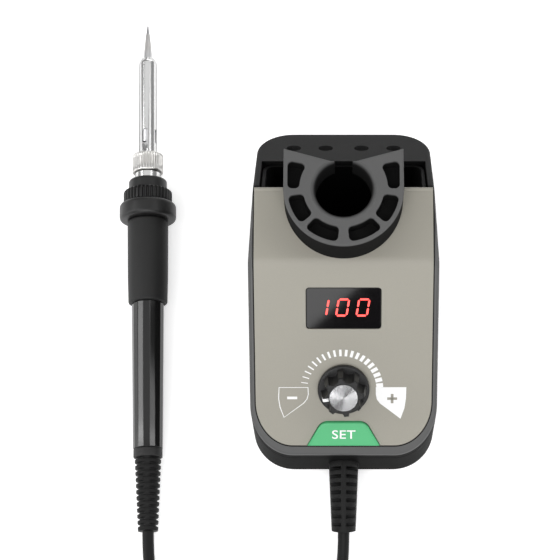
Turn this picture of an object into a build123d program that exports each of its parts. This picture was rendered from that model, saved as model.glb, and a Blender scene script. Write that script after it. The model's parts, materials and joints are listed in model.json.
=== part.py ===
from build123d import *
from math import cos, degrees, hypot, pi, radians, sin, tan
import os

# Soldering iron station: a wedge-shaped control unit with an iron rest, and the iron lying beside it on its cord.
# Millimetres, X to the right, Y to the back, Z up. The origin is on the table under the middle of the case.

# Case outline in plan and from the side
HALF_WIDTH = 39.4
REAR_HALF_WIDTH = 37.6
FRONT_Y = -71.5
BACK_Y = 71.0
BEND_Y = -4.0
BEND_Z = 80.5
PANEL_SLOPE = 38.0
UPPER_SLOPE = 10.0
RIDGE_Y = 27.2
REAR_SLOPE = 45.0
LIP_Y = 47.8
FRONT_CORNER_R = 18.0
REAR_CORNER_R = 15.5
KINK_R = 60.0
BEND_R = 10.0
RIDGE_R = 5.0
RIM_ROUND = 1.6
REACH = 10.0

# Case walls
WALL = 2.4
RIM_DEPTH = 4.2
PARTING_GAP = 0.4
TONGUE_T = 1.2
TONGUE_H = 3.0
SIDE_RIM = 2.3
FRONT_RIM = 3.2
LEDGE = 1.4
FIT = 0.15
FOOT_H = 2.0
BASE_T = 2.5

# Front panel
PANEL_T = 2.2
WINDOW_W = 31.1
WINDOW_TOP = 11.1
WINDOW_BOTTOM = 29.0
WINDOW_CORNER_R = 1.3
WINDOW_T = 1.8
WINDOW_SET_BACK = 0.3
NOTCH_R = 13.0
BEAD_R = 0.9
BEAD_SINK = 0.35
BEAD_GAP = 0.6

# Control knob
KNOB_DOWN = 55.5
SKIRT_D = 21.7
SKIRT_H = 2.2
KNOB_ROOT_D = 19.2
KNOB_TOP_D = 17.4
KNOB_H = 10.6
KNOB_LIFT = 0.4
FLUTE_COUNT = 8
FLUTE_R = 2.5
FLUTE_DEPTH = 1.8
CAP_D = 11.9
CAP_T = 1.0
CAP_PROUD = 0.2
KNOB_HOLLOW_D = 14.0
KNOB_HOLLOW_H = 3.4
POINTER_W = 1.3
POINTER_T = 0.5
POINTER_LOW = 7.6
POINTER_ANGLE = 188.0
SHAFT_D = 6.0
SHAFT_PLAY = 0.15
BUSH_D = 7.4
BUSH_PLAY = 0.2
BUSH_UP = 2.6
POT_NUT_D = 10.5
POT_NUT_T = 2.0
POT_D = 16.5
POT_GAP = 0.6

# SET button and its switch
BUTTON_TOP = 70.5
BUTTON_W_LOW = 30.6
BUTTON_W_TOP = 18.5
BUTTON_CORNER_R = 4.8
BUTTON_PROUD = 1.5
BUTTON_PLAY = 0.3
BUTTON_TRAVEL = 1.0
BUTTON_FLANGE = 1.2
BUTTON_FLANGE_T = 1.0
BUTTON_STEM_D = 5.0
SWITCH_W = 6.0

# Control board
BOARD_DEPTH = 12.5
BOARD_T = 1.6
BOARD_W = 58.0
BOARD_TOP = 5.0
BOARD_BOTTOM = 79.0
POST_D = 5.0
POST_X = 25.0
POST_TOP = 8.5
POST_LOW = 64.0
DISPLAY_W = 30.0
DISPLAY_H = 16.0
SCREW_D = 2.6
SCREW_HEAD_D = 5.0
SCREW_HEAD_H = 1.8
SCREW_BITE = 5.0
HOLE_PLAY = 0.2

# Iron holder
HOLDER_Y = 21.0
HOLDER_RISE = 14.3
HOLDER_LEAN = 3.0
HOLDER_R = 24.5
HOLDER_HOLE_D = 23.2
HOLDER_CHAMFER = 1.8
HOLDER_SLOT_W = 7.3
HOLDER_WING = 17.4
HOLDER_HEART_X = 5.4
HOLDER_HEART_Y = 12.0
HOLDER_EDGE_R = 1.0
POCKET_IN = 4.8
POCKET_WALL = 1.7
POCKET_DEPTH = 7.0
POCKET_ROUND = 1.9
POCKET_ROUND_MOST = 0.45
POCKET_ANGLES = ((188, 221), (227, 264))
WING_POCKET_IN = 6.4
WING_POCKET_DROP = 5.3
WING_POCKET_ANGLES = (145, 180)
HOLDER_SCREW_X = 18.7
HOLDER_SCREW_Y = 20.0

# Iron well and tip rack
WELL_HALF_W = 34.4
WELL_MOUTH = 35.0
WELL_FRONT = 8.0
WELL_BACK = 47.4
WELL_T = 1.5
WELL_CORNER_R = 5.0
WELL_FLOOR_T = 2.0
TIP_HOLE_D = 6.4
TIP_HOLE_X = (-21.7, -7.8, 7.8, 21.7)
TIP_HOLE_Y = 58.8
TIP_SOCKET_T = 1.6
TIP_SOCKET_DEPTH = 10.0

# Base
BOSS_D = 7.2
BOSS_H = 22.0
BOSS_SINK = 0.9
FRONT_BOSS_Y = -45.0
REAR_BOSS_Y = 55.0
FOOT_D = 10.0
FOOT_SINK = 1.0
FOOT_X = 25.0
FOOT_FRONT_Y = -55.0
FOOT_BACK_Y = 45.0

# Transformer
CORE_W = 44.0
CORE_D = 16.0
CORE_H = 36.0
CORE_LEG = 14.0
CORE_YOKE = 7.0
COIL_PLAY = 0.2
COIL_WALL = 7.2
EAR_W = 60.0
EAR_T = 1.6
TRANSFORMER_Y = -17.0

# Mains inlet and rocker switch on the back wall
INLET_X = -12.5
INLET_Z = 20.0
INLET_W = 27.0
INLET_H = 19.5
INLET_DEEP = 17.0
INLET_FLANGE = 2.4
INLET_FLANGE_T = 1.6
RECESS_W = 24.0
RECESS_H = 16.0
RECESS_DEEP = 14.5
PIN_L = 8.5
PIN_W = 2.0
PIN_H = 4.0
PIN_SPACING = 7.0
ROCKER_X = 16.0
ROCKER_Z = 20.0
ROCKER_W = 9.0
ROCKER_L = 15.0
ROCKER_EDGE_PROUD = 3.2
ROCKER_DIP = 2.0
ROCKER_BACK = 2.2
ROCKER_TILT = 10.0
ROCKER_PLAY = 0.5
ROCKER_FRAME = 2.2
ROCKER_LIP = 0.6
ROCKER_FLANGE_T = 1.8
ROCKER_PIVOT_IN = 1.0
ROCKER_DEEP = 13.0
ROCKER_WELL = 5.0
PIVOT_D = 2.0
PIVOT_L = 1.0

# Strain relief at the front of the case
RELIEF_Z = 12.2
RELIEF_L = 29.0
RELIEF_DROOP = 21.0
RELIEF_ROOT_D = 12.9
RELIEF_END_D = 10.4
RELIEF_BANDS = 8
RELIEF_SLOT_SHARE = 0.45
RELIEF_ROOT_T = 1.5
RELIEF_TAIL = 1.6
RELIEF_SPINE_W = 2.2
RELIEF_SLOT_FLOOR = 2.4
RELIEF_RAIL = 0.5
RELIEF_NECK_D = 9.0
RELIEF_LOCK_D = 12.0
RELIEF_LOCK_T = 2.5

# Iron, lying on the table: distances run from the cord end to the tip
IRON_X = -84.4
IRON_Y = -99.5
IRON_Z = 4.6
IRON_YAW = 1.8
IRON_RISE = 3.3
BELLOWS_L = 32.0
BELLOWS_D_END = 8.75
BELLOWS_D_ROOT = 11.6
BELLOWS_RIBS = 12
BELLOWS_GROOVE = 1.0
BELLOWS_RIB_SHARE = 0.6
BELLOWS_SIDE_SHARE = 0.1
END_RING_L = 4.0
END_RING_D = 12.7
END_RING_ROUND = 0.4
HANDLE_L = 66.0
HANDLE_D_END = 12.9
HANDLE_D_GRIP = 14.2
HANDLE_FLATS = 16
GRIP_L = 39.0
GRIP_D_REAR = 17.4
GRIP_D_FRONT = 18.4
GRIP_ROUND = 2.0
SPIGOT_D = 13.0
GUARD_L = 8.0
GUARD_D = 25.6
GUARD_ROUND = 2.4
RIB_RING_L = 6.0
RIB_RING_D = 22.0
RIB_RING_RIBS = 36
RIB_DEPTH = 0.7
RIB_RING_ROUND = 0.5
NOSE_L = 5.5
NOSE_D = 17.3
NOSE_ROUND = 1.6
SOCKET_L = 3.3
SOCKET_D = 11.8
THREAD_L = 4.2
THREAD_D = 10.4
NUT_L = 9.0
NUT_D = 13.9
NUT_RIBS = 32
NUT_RIB_DEPTH = 0.45
NUT_WALL = 1.2
BARREL_L = 48.0
BARREL_D = 8.2
BARREL_T = 0.6
BARREL_SHOULDER = 2.2
VENT_COUNT = 4
VENT_W = 2.6
VENT_L = 7.2
VENT_FROM_NUT = 5.0
VENT_TURN = -15.0
CONE_L = 12.5
CONE_D_ROOT = 4.2
CONE_D_END = 1.6
POINT_L = 4.4
POINT_D = 0.5
SHANK_D = 6.6
SHANK_L = 42.0
HEATER_D = 3.8
HEATER_IN_TIP = 36.0
RUNNING_GAP = 0.3
COAX_GAP = 0.1
WIRE_BORE_D = 6.0

# Cord
CORD_D = 5.0
COIL_X = -43.0
COIL_Y = -160.0
COIL_TURNS = 3
COIL_PITCH = 5.7
COIL_R_OUT = 36.0
COIL_Z = 3.5
COIL_LAYER = 5.5
COIL_DIP = 1.4
TIE_W = 4.5
TIE_T = 0.8
TIE_ANGLE = 60.0
TIE_SLACK = 0.45
TIE_LIFT = 0.15
CORD_GAP = 0.3
CORD_CORNER_SHARE = 0.45
CORD_FALL = 12.4
CORD_LEAD = 13.0
CORD_RISE = 12.0
STATION_BEND = (-2.6, -127.0, 2.55)
IRON_BEND = (-80.4, -129.0, 4.4)

RIDGE_Z = BEND_Z + (RIDGE_Y - BEND_Y) * tan(radians(UPPER_SLOPE))
HOLDER_Z = BEND_Z + (HOLDER_Y - BEND_Y) * tan(radians(UPPER_SLOPE)) + HOLDER_RISE
BASE_TOP = FOOT_H + BASE_T
UP = (Align.CENTER, Align.CENTER, Align.MIN)
DOWN = (Align.CENTER, Align.CENTER, Align.MAX)


def tilted(y, z, slope):
    """Plane across the case through (y, z) that climbs to the back by slope."""
    return Plane(origin=(0, y, z), x_dir=(1, 0, 0), z_dir=(0, -sin(radians(slope)), cos(radians(slope))))


PANEL = tilted(BEND_Y, BEND_Z, PANEL_SLOPE)
UPPER = tilted(BEND_Y, BEND_Z, UPPER_SLOPE)
REAR = tilted(TIP_HOLE_Y, RIDGE_Z - (TIP_HOLE_Y - RIDGE_Y) * tan(radians(REAR_SLOPE)), -REAR_SLOPE)
HOLDER = tilted(HOLDER_Y, HOLDER_Z, HOLDER_LEAN)
KNOB = PANEL.offset(0) * Pos(0, -KNOB_DOWN, 0)
BUTTON_LOW = (BEND_Y - FRONT_Y - FRONT_RIM - BUTTON_PLAY) / cos(radians(PANEL_SLOPE))
IRON_AXIS = Vector(0, 0, 1).rotate(Axis.X, IRON_RISE - 90).rotate(Axis.Z, IRON_YAW)
IRON = Plane(origin=(IRON_X, IRON_Y, IRON_Z), x_dir=(cos(radians(IRON_YAW)), sin(radians(IRON_YAW)), 0),
             z_dir=IRON_AXIS)


def roof_line(drop):
    """Front, bend, ridge and back points of the roof, moved inwards by drop."""
    slopes = (tan(radians(PANEL_SLOPE)), tan(radians(UPPER_SLOPE)), -tan(radians(REAR_SLOPE)))
    through = ((BEND_Y, BEND_Z), (BEND_Y, BEND_Z), (RIDGE_Y, RIDGE_Z))
    heights = [z - slope * y - drop * hypot(1, slope) for slope, (y, z) in zip(slopes, through)]

    def on_line(index, y):
        return (y, heights[index] + slopes[index] * y)

    def crossing(index):
        return on_line(index, (heights[index + 1] - heights[index]) / (slopes[index] - slopes[index + 1]))

    return [on_line(0, FRONT_Y - REACH), crossing(0), crossing(1), on_line(2, BACK_Y + REACH)]


def under_roof(drop):
    """Everything below the roof moved inwards by drop, across the whole width."""
    points = roof_line(drop)
    face = make_face(Polyline((points[0][0], 0), *points, (points[-1][0], 0), close=True))
    for point, radius in ((points[1], BEND_R - drop), (points[2], RIDGE_R - drop)):
        corner = face.vertices().sort_by_distance((point[0], point[1], 0))[0]
        face = fillet(corner, radius)
    return extrude(Plane.YZ * face, HALF_WIDTH + REACH, both=True)


def plan(inset, front_inset):
    """Outline of the case from above, moved inwards."""
    wide = HALF_WIDTH - inset
    narrow = REAR_HALF_WIDTH - inset
    front = FRONT_Y + front_inset
    back = BACK_Y - inset
    right = [(wide, front), (wide, BEND_Y), (narrow, RIDGE_Y), (narrow, back)]
    left = [(-x, y) for x, y in reversed(right)]
    face = make_face(Polyline(*right, *left, close=True))
    rounds = ((wide, front, FRONT_CORNER_R - inset), (wide, BEND_Y, KINK_R), (narrow, RIDGE_Y, KINK_R),
              (narrow, back, REAR_CORNER_R - inset))
    for x, y, radius in rounds:
        corners = [face.vertices().sort_by_distance((side * x, y, 0))[0] for side in (-1, 1)]
        face = fillet(corners, radius)
    return face


def prism(inset, front_inset=None, low=FOOT_H):
    """Upright block on the case outline, taller than the roof."""
    front = inset if front_inset is None else front_inset
    return Pos(0, 0, low) * extrude(plan(inset, front), HOLDER_Z)


def panel_block(shrink):
    """Upright block on the panel's outline: rounded in front, straight at the sides and square at the back."""
    wide, front = HALF_WIDTH - SIDE_RIM - shrink, FRONT_Y + FRONT_RIM + shrink
    face = make_face(Polyline((-wide, front), (wide, front), (wide, RIDGE_Y), (-wide, RIDGE_Y), close=True))
    face = fillet(face.vertices().group_by(Axis.Y)[0], FRONT_CORNER_R - SIDE_RIM - shrink)
    return Pos(0, 0, FOOT_H) * extrude(face, HOLDER_Z)


def well_block(grow, low):
    """Upright block on the iron well's outline."""
    deep, middle = WELL_BACK - WELL_FRONT + 2 * grow, (WELL_BACK + WELL_FRONT) / 2
    outline = RectangleRounded(2 * (WELL_HALF_W + grow), deep, WELL_CORNER_R + grow)
    return Pos(0, middle, low) * extrude(outline, HOLDER_Z)


def ahead_of(y):
    """Everything in front of y."""
    deep = y - FRONT_Y + REACH
    return Pos(0, y, 0) * Box(2 * HALF_WIDTH + REACH, deep, 2 * HOLDER_Z + REACH,
                              align=(Align.CENTER, Align.MAX, Align.CENTER))


def button_outline(grow):
    """Trapezoid of the SET button on the panel, its lower edge along the panel's lower edge."""
    low, high = -BUTTON_LOW - grow, -BUTTON_TOP + grow
    corners = [(-BUTTON_W_LOW / 2 - grow, low), (BUTTON_W_LOW / 2 + grow, low),
               (BUTTON_W_TOP / 2 + grow, high), (-BUTTON_W_TOP / 2 - grow, high)]
    face = make_face(Polyline(*corners, close=True))
    return fillet(face.vertices().group_by(Axis.Y)[-1], BUTTON_CORNER_R + grow)


def window_outline(grow):
    """Rounded rectangle of the display window on the panel."""
    tall = WINDOW_BOTTOM - WINDOW_TOP
    middle = -(WINDOW_TOP + WINDOW_BOTTOM) / 2
    return Pos(0, middle) * RectangleRounded(WINDOW_W + 2 * grow, tall + 2 * grow, WINDOW_CORNER_R + grow)


def posts():
    """Places of the board posts on the panel."""
    return [Pos(x, y) for x in (-POST_X, POST_X) for y in (-POST_TOP, -POST_LOW)]


def screw(length):
    """Pan-head screw, head up, its seat at the origin."""
    head = Cylinder(SCREW_HEAD_D / 2, SCREW_HEAD_H, align=UP)
    head = fillet(head.edges().sort_by(Axis.Z)[-1], SCREW_HEAD_H / 2)
    return head + Cylinder(SCREW_D / 2, length, align=DOWN)


def solid_of(*points):
    """Turned piece: a profile of (radius, distance) points spun round the Z axis."""
    return revolve(Plane.XZ * make_face(Polyline(*points, close=True)), Axis.Z)


# Case
def make_top_shell():
    shell = prism(0) & under_roof(0)
    ridge_line = {edge for face in (shell.faces().filter_by(lambda f: abs(f.normal_at().Z) > 0.3)
                                    .filter_by(lambda f: f.center().Z > 2 * FOOT_H)) for edge in face.edges()}
    walls = shell.faces().filter_by(lambda f: abs(f.normal_at().Z) < 0.01)
    rim = [edge for edge in shell.edges() if edge in ridge_line and any(edge in face.edges() for face in walls)]
    shell = fillet(rim, RIM_ROUND)
    shell -= under_roof(RIM_DEPTH)
    tongue = (prism(WALL + FIT) - prism(WALL + FIT + TONGUE_T)) & under_roof(RIM_DEPTH)
    shell += tongue - Pos(0, 0, -TONGUE_H) * under_roof(RIM_DEPTH)
    shell -= panel_block(0) - under_roof(PANEL_T)
    shell -= prism(SIDE_RIM + LEDGE, FRONT_RIM + LEDGE) & ahead_of(RIDGE_Y)
    shell -= Pos(0, RIDGE_Y - REACH, 0) * Box(2 * WELL_MOUTH, LIP_Y - RIDGE_Y + REACH, 2 * HOLDER_Z,
                                              align=(Align.CENTER, Align.MIN, Align.CENTER))
    shell -= well_block(FIT, FOOT_H)
    shell -= extrude(PANEL * button_outline(BUTTON_FLANGE + BUTTON_PLAY), -RIM_DEPTH - TONGUE_H) & prism(
        WALL, FRONT_RIM)
    for x in TIP_HOLE_X:
        socket = Cylinder(TIP_HOLE_D / 2 + TIP_SOCKET_T, TIP_SOCKET_DEPTH - RIM_DEPTH, align=DOWN)
        shell += REAR * Pos(x, 0, -RIM_DEPTH) * socket
    for x in TIP_HOLE_X:
        shell -= REAR * Pos(x, 0, REACH) * Cylinder(TIP_HOLE_D / 2, TIP_SOCKET_DEPTH - TIP_SOCKET_T + REACH,
                                                    align=DOWN)
    return shell


def boss_places():
    """Centres of the screw bosses against the side walls."""
    front_x = HALF_WIDTH - WALL - BOSS_D / 2 + BOSS_SINK
    rear_x = REAR_HALF_WIDTH - WALL - BOSS_D / 2 + BOSS_SINK
    return [(side * x, y) for side in (-1, 1) for x, y in ((front_x, FRONT_BOSS_Y), (rear_x, REAR_BOSS_Y))]


def make_bottom_case():
    case = (prism(0) - prism(WALL)) & under_roof(RIM_DEPTH + PARTING_GAP)
    for x, y in boss_places():
        case += Pos(x, y, BASE_TOP) * Cylinder(BOSS_D / 2, BOSS_H, align=UP)
    for x, y in boss_places():
        case -= Pos(x, y, BASE_TOP) * Cylinder(SCREW_D / 2, SCREW_BITE + HOLE_PLAY, align=UP)
    case -= Pos(0, FRONT_Y, RELIEF_Z) * Rot(90, 0, 0) * Cylinder(RELIEF_NECK_D / 2, 3 * WALL)
    case -= Pos(INLET_X, BACK_Y, INLET_Z) * Box(INLET_W + 2 * FIT, 3 * WALL, INLET_H + 2 * FIT)
    case -= Pos(ROCKER_X, BACK_Y, ROCKER_Z) * Box(rocker_hole_w() + 2 * FIT, 3 * WALL, rocker_hole_l() + 2 * FIT)
    return case


def foot_places():
    return [(side * FOOT_X, y) for side in (-1, 1) for y in (FOOT_FRONT_Y, FOOT_BACK_Y)]


def make_base_plate():
    plate = Pos(0, 0, FOOT_H) * extrude(plan(WALL + FIT, WALL + FIT), BASE_T)
    for x, y in foot_places():
        plate -= Pos(x, y, FOOT_H) * Cylinder(FOOT_D / 2, FOOT_SINK, align=UP)
    for x, y in boss_places():
        plate -= Pos(x, y, FOOT_H) * Cylinder(SCREW_HEAD_D / 2 + HOLE_PLAY, SCREW_HEAD_H, align=UP)
        plate -= Pos(x, y, FOOT_H) * Cylinder(SCREW_D / 2 + HOLE_PLAY, BASE_T, align=UP)
    return plate


def make_rubber_feet():
    foot = Cylinder(FOOT_D / 2, FOOT_H + FOOT_SINK, align=UP)
    foot = chamfer(foot.edges().sort_by(Axis.Z)[0], FOOT_SINK / 2)
    return [Pos(x, y, 0) * foot for x, y in foot_places()]


def make_case_screws():
    seat = FOOT_H + SCREW_HEAD_H
    return [Pos(x, y, seat) * Rot(180, 0, 0) * screw(BASE_TOP - seat + SCREW_BITE) for x, y in boss_places()]


def make_well_liner():
    liner = well_block(0, BASE_TOP) - well_block(-WELL_T, BASE_TOP + WELL_FLOOR_T)
    return liner & under_roof(PANEL_T + FIT)


# Front panel and what shows on it
def make_front_panel():
    panel = panel_block(FIT) & (under_roof(0) - under_roof(PANEL_T))
    panel += panel_bead()
    notch = Pos(0, HOLDER_Y, 0) * Cylinder(NOTCH_R, 2 * HOLDER_Z)
    notch += Pos(0, HOLDER_Y, 0) * Box(2 * NOTCH_R, BACK_Y, 2 * HOLDER_Z,
                                       align=(Align.CENTER, Align.MIN, Align.CENTER))
    panel -= notch
    for place in posts():
        panel += PANEL * place * Pos(0, 0, -PANEL_T) * Cylinder(POST_D / 2, BOARD_DEPTH - PANEL_T, align=DOWN)
    for place in posts():
        panel -= PANEL * place * Pos(0, 0, -BOARD_DEPTH) * Cylinder(SCREW_D / 2, SCREW_BITE + HOLE_PLAY, align=UP)
    panel -= extrude(PANEL * window_outline(FIT), PANEL_T + REACH, both=True)
    panel -= KNOB * Cylinder(BUSH_D / 2 + BUSH_PLAY, 4 * PANEL_T)
    panel -= extrude(PANEL * button_outline(BUTTON_PLAY), PANEL_T + REACH, both=True)
    screw_hole = Cylinder(SCREW_D / 2 + HOLE_PLAY, 4 * PANEL_T)
    for side in (-1, 1):
        panel -= UPPER * Pos(side * HOLDER_SCREW_X, HOLDER_SCREW_Y) * screw_hole
    return panel


def panel_bead():
    """Rolled edge on both sides of the holder, along the panel's upper end."""
    long = HALF_WIDTH - SIDE_RIM - FIT - HOLDER_R - BEAD_GAP
    y = RIDGE_Y - BEAD_R
    roof = under_roof(BEAD_SINK + BEAD_R) & Pos(0, y, 0) * Box(FIT, FIT, 2 * HOLDER_Z)
    z = roof.bounding_box().max.Z
    return [Pos(side * (HOLDER_R + BEAD_GAP + long / 2), y, z + BEAD_R) * Rot(0, 90, 0) * Cylinder(BEAD_R, long)
            for side in (-1, 1)]


def make_display_window():
    pane = extrude(PANEL.offset(-WINDOW_SET_BACK) * window_outline(0), -WINDOW_T)
    return fillet(pane.edges().filter_by(lambda e: (PANEL.to_local_coords(e.center())).Z > -WINDOW_SET_BACK - FIT),
                  WINDOW_SET_BACK)


def make_led_display():
    top = WINDOW_SET_BACK + WINDOW_T + FIT
    middle = -(WINDOW_TOP + WINDOW_BOTTOM) / 2
    return PANEL * Pos(0, middle, -top) * Box(DISPLAY_W, DISPLAY_H, BOARD_DEPTH - top, align=DOWN)


def make_control_board():
    tall = BOARD_BOTTOM - BOARD_TOP
    board = PANEL * Pos(0, -(BOARD_TOP + BOARD_BOTTOM) / 2, -BOARD_DEPTH) * Box(BOARD_W, tall, BOARD_T, align=DOWN)
    for place in posts():
        board -= PANEL * place * Pos(0, 0, -BOARD_DEPTH) * Cylinder(SCREW_D / 2 + HOLE_PLAY, 3 * BOARD_T)
    return board


def make_board_screws():
    return [PANEL * place * Pos(0, 0, -BOARD_DEPTH - BOARD_T) * Rot(180, 0, 0) * screw(BOARD_T + SCREW_BITE)
            for place in posts()]


def make_potentiometer():
    top = PANEL_T + POT_GAP
    pot = KNOB * Pos(0, 0, -BOARD_DEPTH) * Cylinder(POT_D / 2, BOARD_DEPTH - top, align=UP)
    pot += KNOB * Pos(0, 0, -top) * Cylinder(BUSH_D / 2, top + BUSH_UP, align=UP)
    return pot - KNOB * Pos(0, 0, -top) * Cylinder(SHAFT_D / 2 + SHAFT_PLAY, top + BUSH_UP, align=UP)


def make_pot_nut():
    nut = extrude(RegularPolygon(POT_NUT_D / 2, 6), POT_NUT_T)
    return KNOB * (nut - Cylinder(BUSH_D / 2, 3 * POT_NUT_T))


def make_pot_shaft():
    low = -PANEL_T - POT_GAP
    return KNOB * Pos(0, 0, low + FIT) * Cylinder(SHAFT_D / 2, shaft_top() - low - FIT, align=UP)


def shaft_top():
    """Top of the shaft above the panel, inside the knob."""
    return KNOB_LIFT + KNOB_H - CAP_T - 2 * CAP_PROUD - POINTER_T


def make_knob():
    body = Cylinder(SKIRT_D / 2, SKIRT_H, align=UP)
    body = fillet(body.edges().sort_by(Axis.Z)[-1], SKIRT_H / 3)
    cone = knob_cone(0)
    lean = degrees((KNOB_ROOT_D - KNOB_TOP_D) / 2 / (KNOB_H - SKIRT_H))
    beside = Pos(KNOB_ROOT_D / 2 + FLUTE_R - FLUTE_DEPTH, 0, 0) * Rot(0, -lean, 0)
    for turn in range(FLUTE_COUNT):
        around = Rot(0, 0, POINTER_ANGLE + (turn + 0.5) * 360 / FLUTE_COUNT)
        cone -= around * beside * Cylinder(FLUTE_R, 3 * KNOB_H)
    body += cone
    body -= Cylinder(KNOB_HOLLOW_D / 2, KNOB_HOLLOW_H, align=UP)
    body -= Cylinder(SHAFT_D / 2, shaft_top() - KNOB_LIFT, align=UP)
    body -= Pos(0, 0, KNOB_H) * Cylinder(CAP_D / 2, CAP_T - CAP_PROUD, align=DOWN)
    body -= pointer_bar()
    return KNOB * Pos(0, 0, KNOB_LIFT) * body


def knob_cone(drop):
    """Tapered body of the knob above its skirt, moved inwards by drop."""
    cone = Cone(KNOB_ROOT_D / 2 - drop, KNOB_TOP_D / 2 - drop, KNOB_H - SKIRT_H - drop, align=UP)
    return Pos(0, 0, SKIRT_H) * fillet(cone.edges().sort_by(Axis.Z)[-1], CAP_T - drop)


def pointer_bar():
    """White line let into the tapered body, from beside the cap over the edge and down the side."""
    slab = Pos(CAP_D / 2 + POINTER_T / 2, 0, POINTER_LOW) * Box(SKIRT_D, POINTER_W, KNOB_H,
                                                                align=(Align.MIN, Align.CENTER, Align.MIN))
    return Rot(0, 0, POINTER_ANGLE) * ((knob_cone(0) - knob_cone(POINTER_T)) & slab)


def make_knob_pointer():
    return KNOB * Pos(0, 0, KNOB_LIFT) * pointer_bar()


def make_knob_cap():
    cap = Cylinder(CAP_D / 2, CAP_T, align=UP)
    cap = chamfer(cap.edges().sort_by(Axis.Z)[-1], CAP_PROUD)
    return KNOB * Pos(0, 0, KNOB_LIFT + KNOB_H - CAP_T + CAP_PROUD) * cap


def make_set_button():
    flange_top = PANEL_T + FIT
    cap = extrude(PANEL.offset(-flange_top) * button_outline(0), flange_top + BUTTON_PROUD)
    upper = [edge for edge in cap.edges() if PANEL.to_local_coords(edge.center()).Z > BUTTON_PROUD - FIT]
    cap = fillet(upper, BUTTON_PROUD / 2)
    flange = extrude(PANEL.offset(-flange_top) * button_outline(BUTTON_FLANGE), -BUTTON_FLANGE_T)
    flange &= prism(WALL + TONGUE_T, FRONT_RIM + FIT + BUTTON_PLAY)
    stem_low = BOARD_DEPTH - SWITCH_W / 2 - BUTTON_TRAVEL - BUTTON_PLAY
    stem = PANEL * Pos(0, -button_middle(), -flange_top) * Cylinder(BUTTON_STEM_D / 2, stem_low - flange_top,
                                                                    align=DOWN)
    return cap + flange + stem


def button_middle():
    return (BUTTON_TOP + BUTTON_LOW) / 2


def make_set_switch():
    place = PANEL * Pos(0, -button_middle(), -BOARD_DEPTH)
    return place * (Box(SWITCH_W, SWITCH_W, SWITCH_W / 2 - BUTTON_PLAY, align=UP))


# Iron holder
def make_iron_holder():
    edge = [Line((HOLDER_R, 0), (HOLDER_R, HOLDER_WING)),
            Line((HOLDER_R, HOLDER_WING), (HOLDER_HEART_X, HOLDER_HEART_Y)),
            Line((HOLDER_HEART_X, HOLDER_HEART_Y), (-HOLDER_HEART_X, HOLDER_HEART_Y)),
            Line((-HOLDER_HEART_X, HOLDER_HEART_Y), (-HOLDER_R, HOLDER_WING)),
            Line((-HOLDER_R, HOLDER_WING), (-HOLDER_R, 0)),
            ThreePointArc((-HOLDER_R, 0), (0, -HOLDER_R), (HOLDER_R, 0))]
    holder = extrude(HOLDER * make_face(edge), -2 * HOLDER_R)
    holder &= UPPER * Box(4 * HOLDER_R, 6 * HOLDER_R, 4 * HOLDER_R, align=UP)
    holder = fillet(holder.edges().filter_by(lambda e: HOLDER.to_local_coords(e.center()).Z > -FIT), HOLDER_EDGE_R)
    holder -= HOLDER * Cylinder(HOLDER_HOLE_D / 2, 4 * HOLDER_R)
    holder -= HOLDER * Pos(0, 0, -HOLDER_CHAMFER) * Cone(HOLDER_HOLE_D / 2, HOLDER_HOLE_D / 2 + 2 * HOLDER_CHAMFER,
                                                         2 * HOLDER_CHAMFER, align=UP)
    to_back = (Align.CENTER, Align.MIN, Align.CENTER)
    holder -= HOLDER * Box(HOLDER_SLOT_W, 2 * HOLDER_R, 4 * HOLDER_R, align=to_back)
    for outline in [wing_pocket(), *(ring_pocket(low, high) for low, high in POCKET_ANGLES)]:
        for pocket in (outline, mirror(outline, Plane.YZ)):
            holder -= extrude(HOLDER * pocket, -POCKET_DEPTH)
    screw_hole = Cylinder(SCREW_D / 2, SCREW_BITE + HOLE_PLAY, align=UP)
    for side in (-1, 1):
        holder -= UPPER * Pos(side * HOLDER_SCREW_X, HOLDER_SCREW_Y) * screw_hole
    return holder


def about_hole(radius, angle):
    """Point round the holder's hole."""
    return (radius * cos(radians(angle)), radius * sin(radians(angle)))


def pocket_round(inner, outer):
    """Corner radius of a pocket, limited by the pocket's width."""
    return min(POCKET_ROUND, POCKET_ROUND_MOST * (outer - inner))


def ring_pocket(low, high):
    """Ring sector between two angles, with softened corners."""
    inner, outer, middle = HOLDER_HOLE_D / 2 + POCKET_IN, HOLDER_R - POCKET_WALL, (low + high) / 2
    face = make_face([ThreePointArc(*(about_hole(outer, angle) for angle in (low, middle, high))),
                      Line(about_hole(outer, high), about_hole(inner, high)),
                      ThreePointArc(*(about_hole(inner, angle) for angle in (high, middle, low))),
                      Line(about_hole(inner, low), about_hole(outer, low))])
    return fillet(face.vertices(), pocket_round(inner, outer))


def wing_pocket():
    """Pocket in the straight wing: upright outside, sloping top, and hollow towards the hole."""
    inner, outer = HOLDER_HOLE_D / 2 + WING_POCKET_IN, HOLDER_R - POCKET_WALL
    high, low = WING_POCKET_ANGLES
    top, foot = about_hole(inner, high), about_hole(inner, low)
    face = make_face([ThreePointArc(top, about_hole(inner, (high + low) / 2), foot),
                      Line(foot, (-outer, 0)),
                      Line((-outer, 0), (-outer, HOLDER_WING - WING_POCKET_DROP)),
                      Line((-outer, HOLDER_WING - WING_POCKET_DROP), top)])
    return fillet(face.vertices(), pocket_round(inner, outer))


def make_holder_screws():
    return [UPPER * Pos(side * HOLDER_SCREW_X, HOLDER_SCREW_Y, -PANEL_T) * Rot(180, 0, 0)
            * screw(PANEL_T + SCREW_BITE) for side in (-1, 1)]


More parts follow.
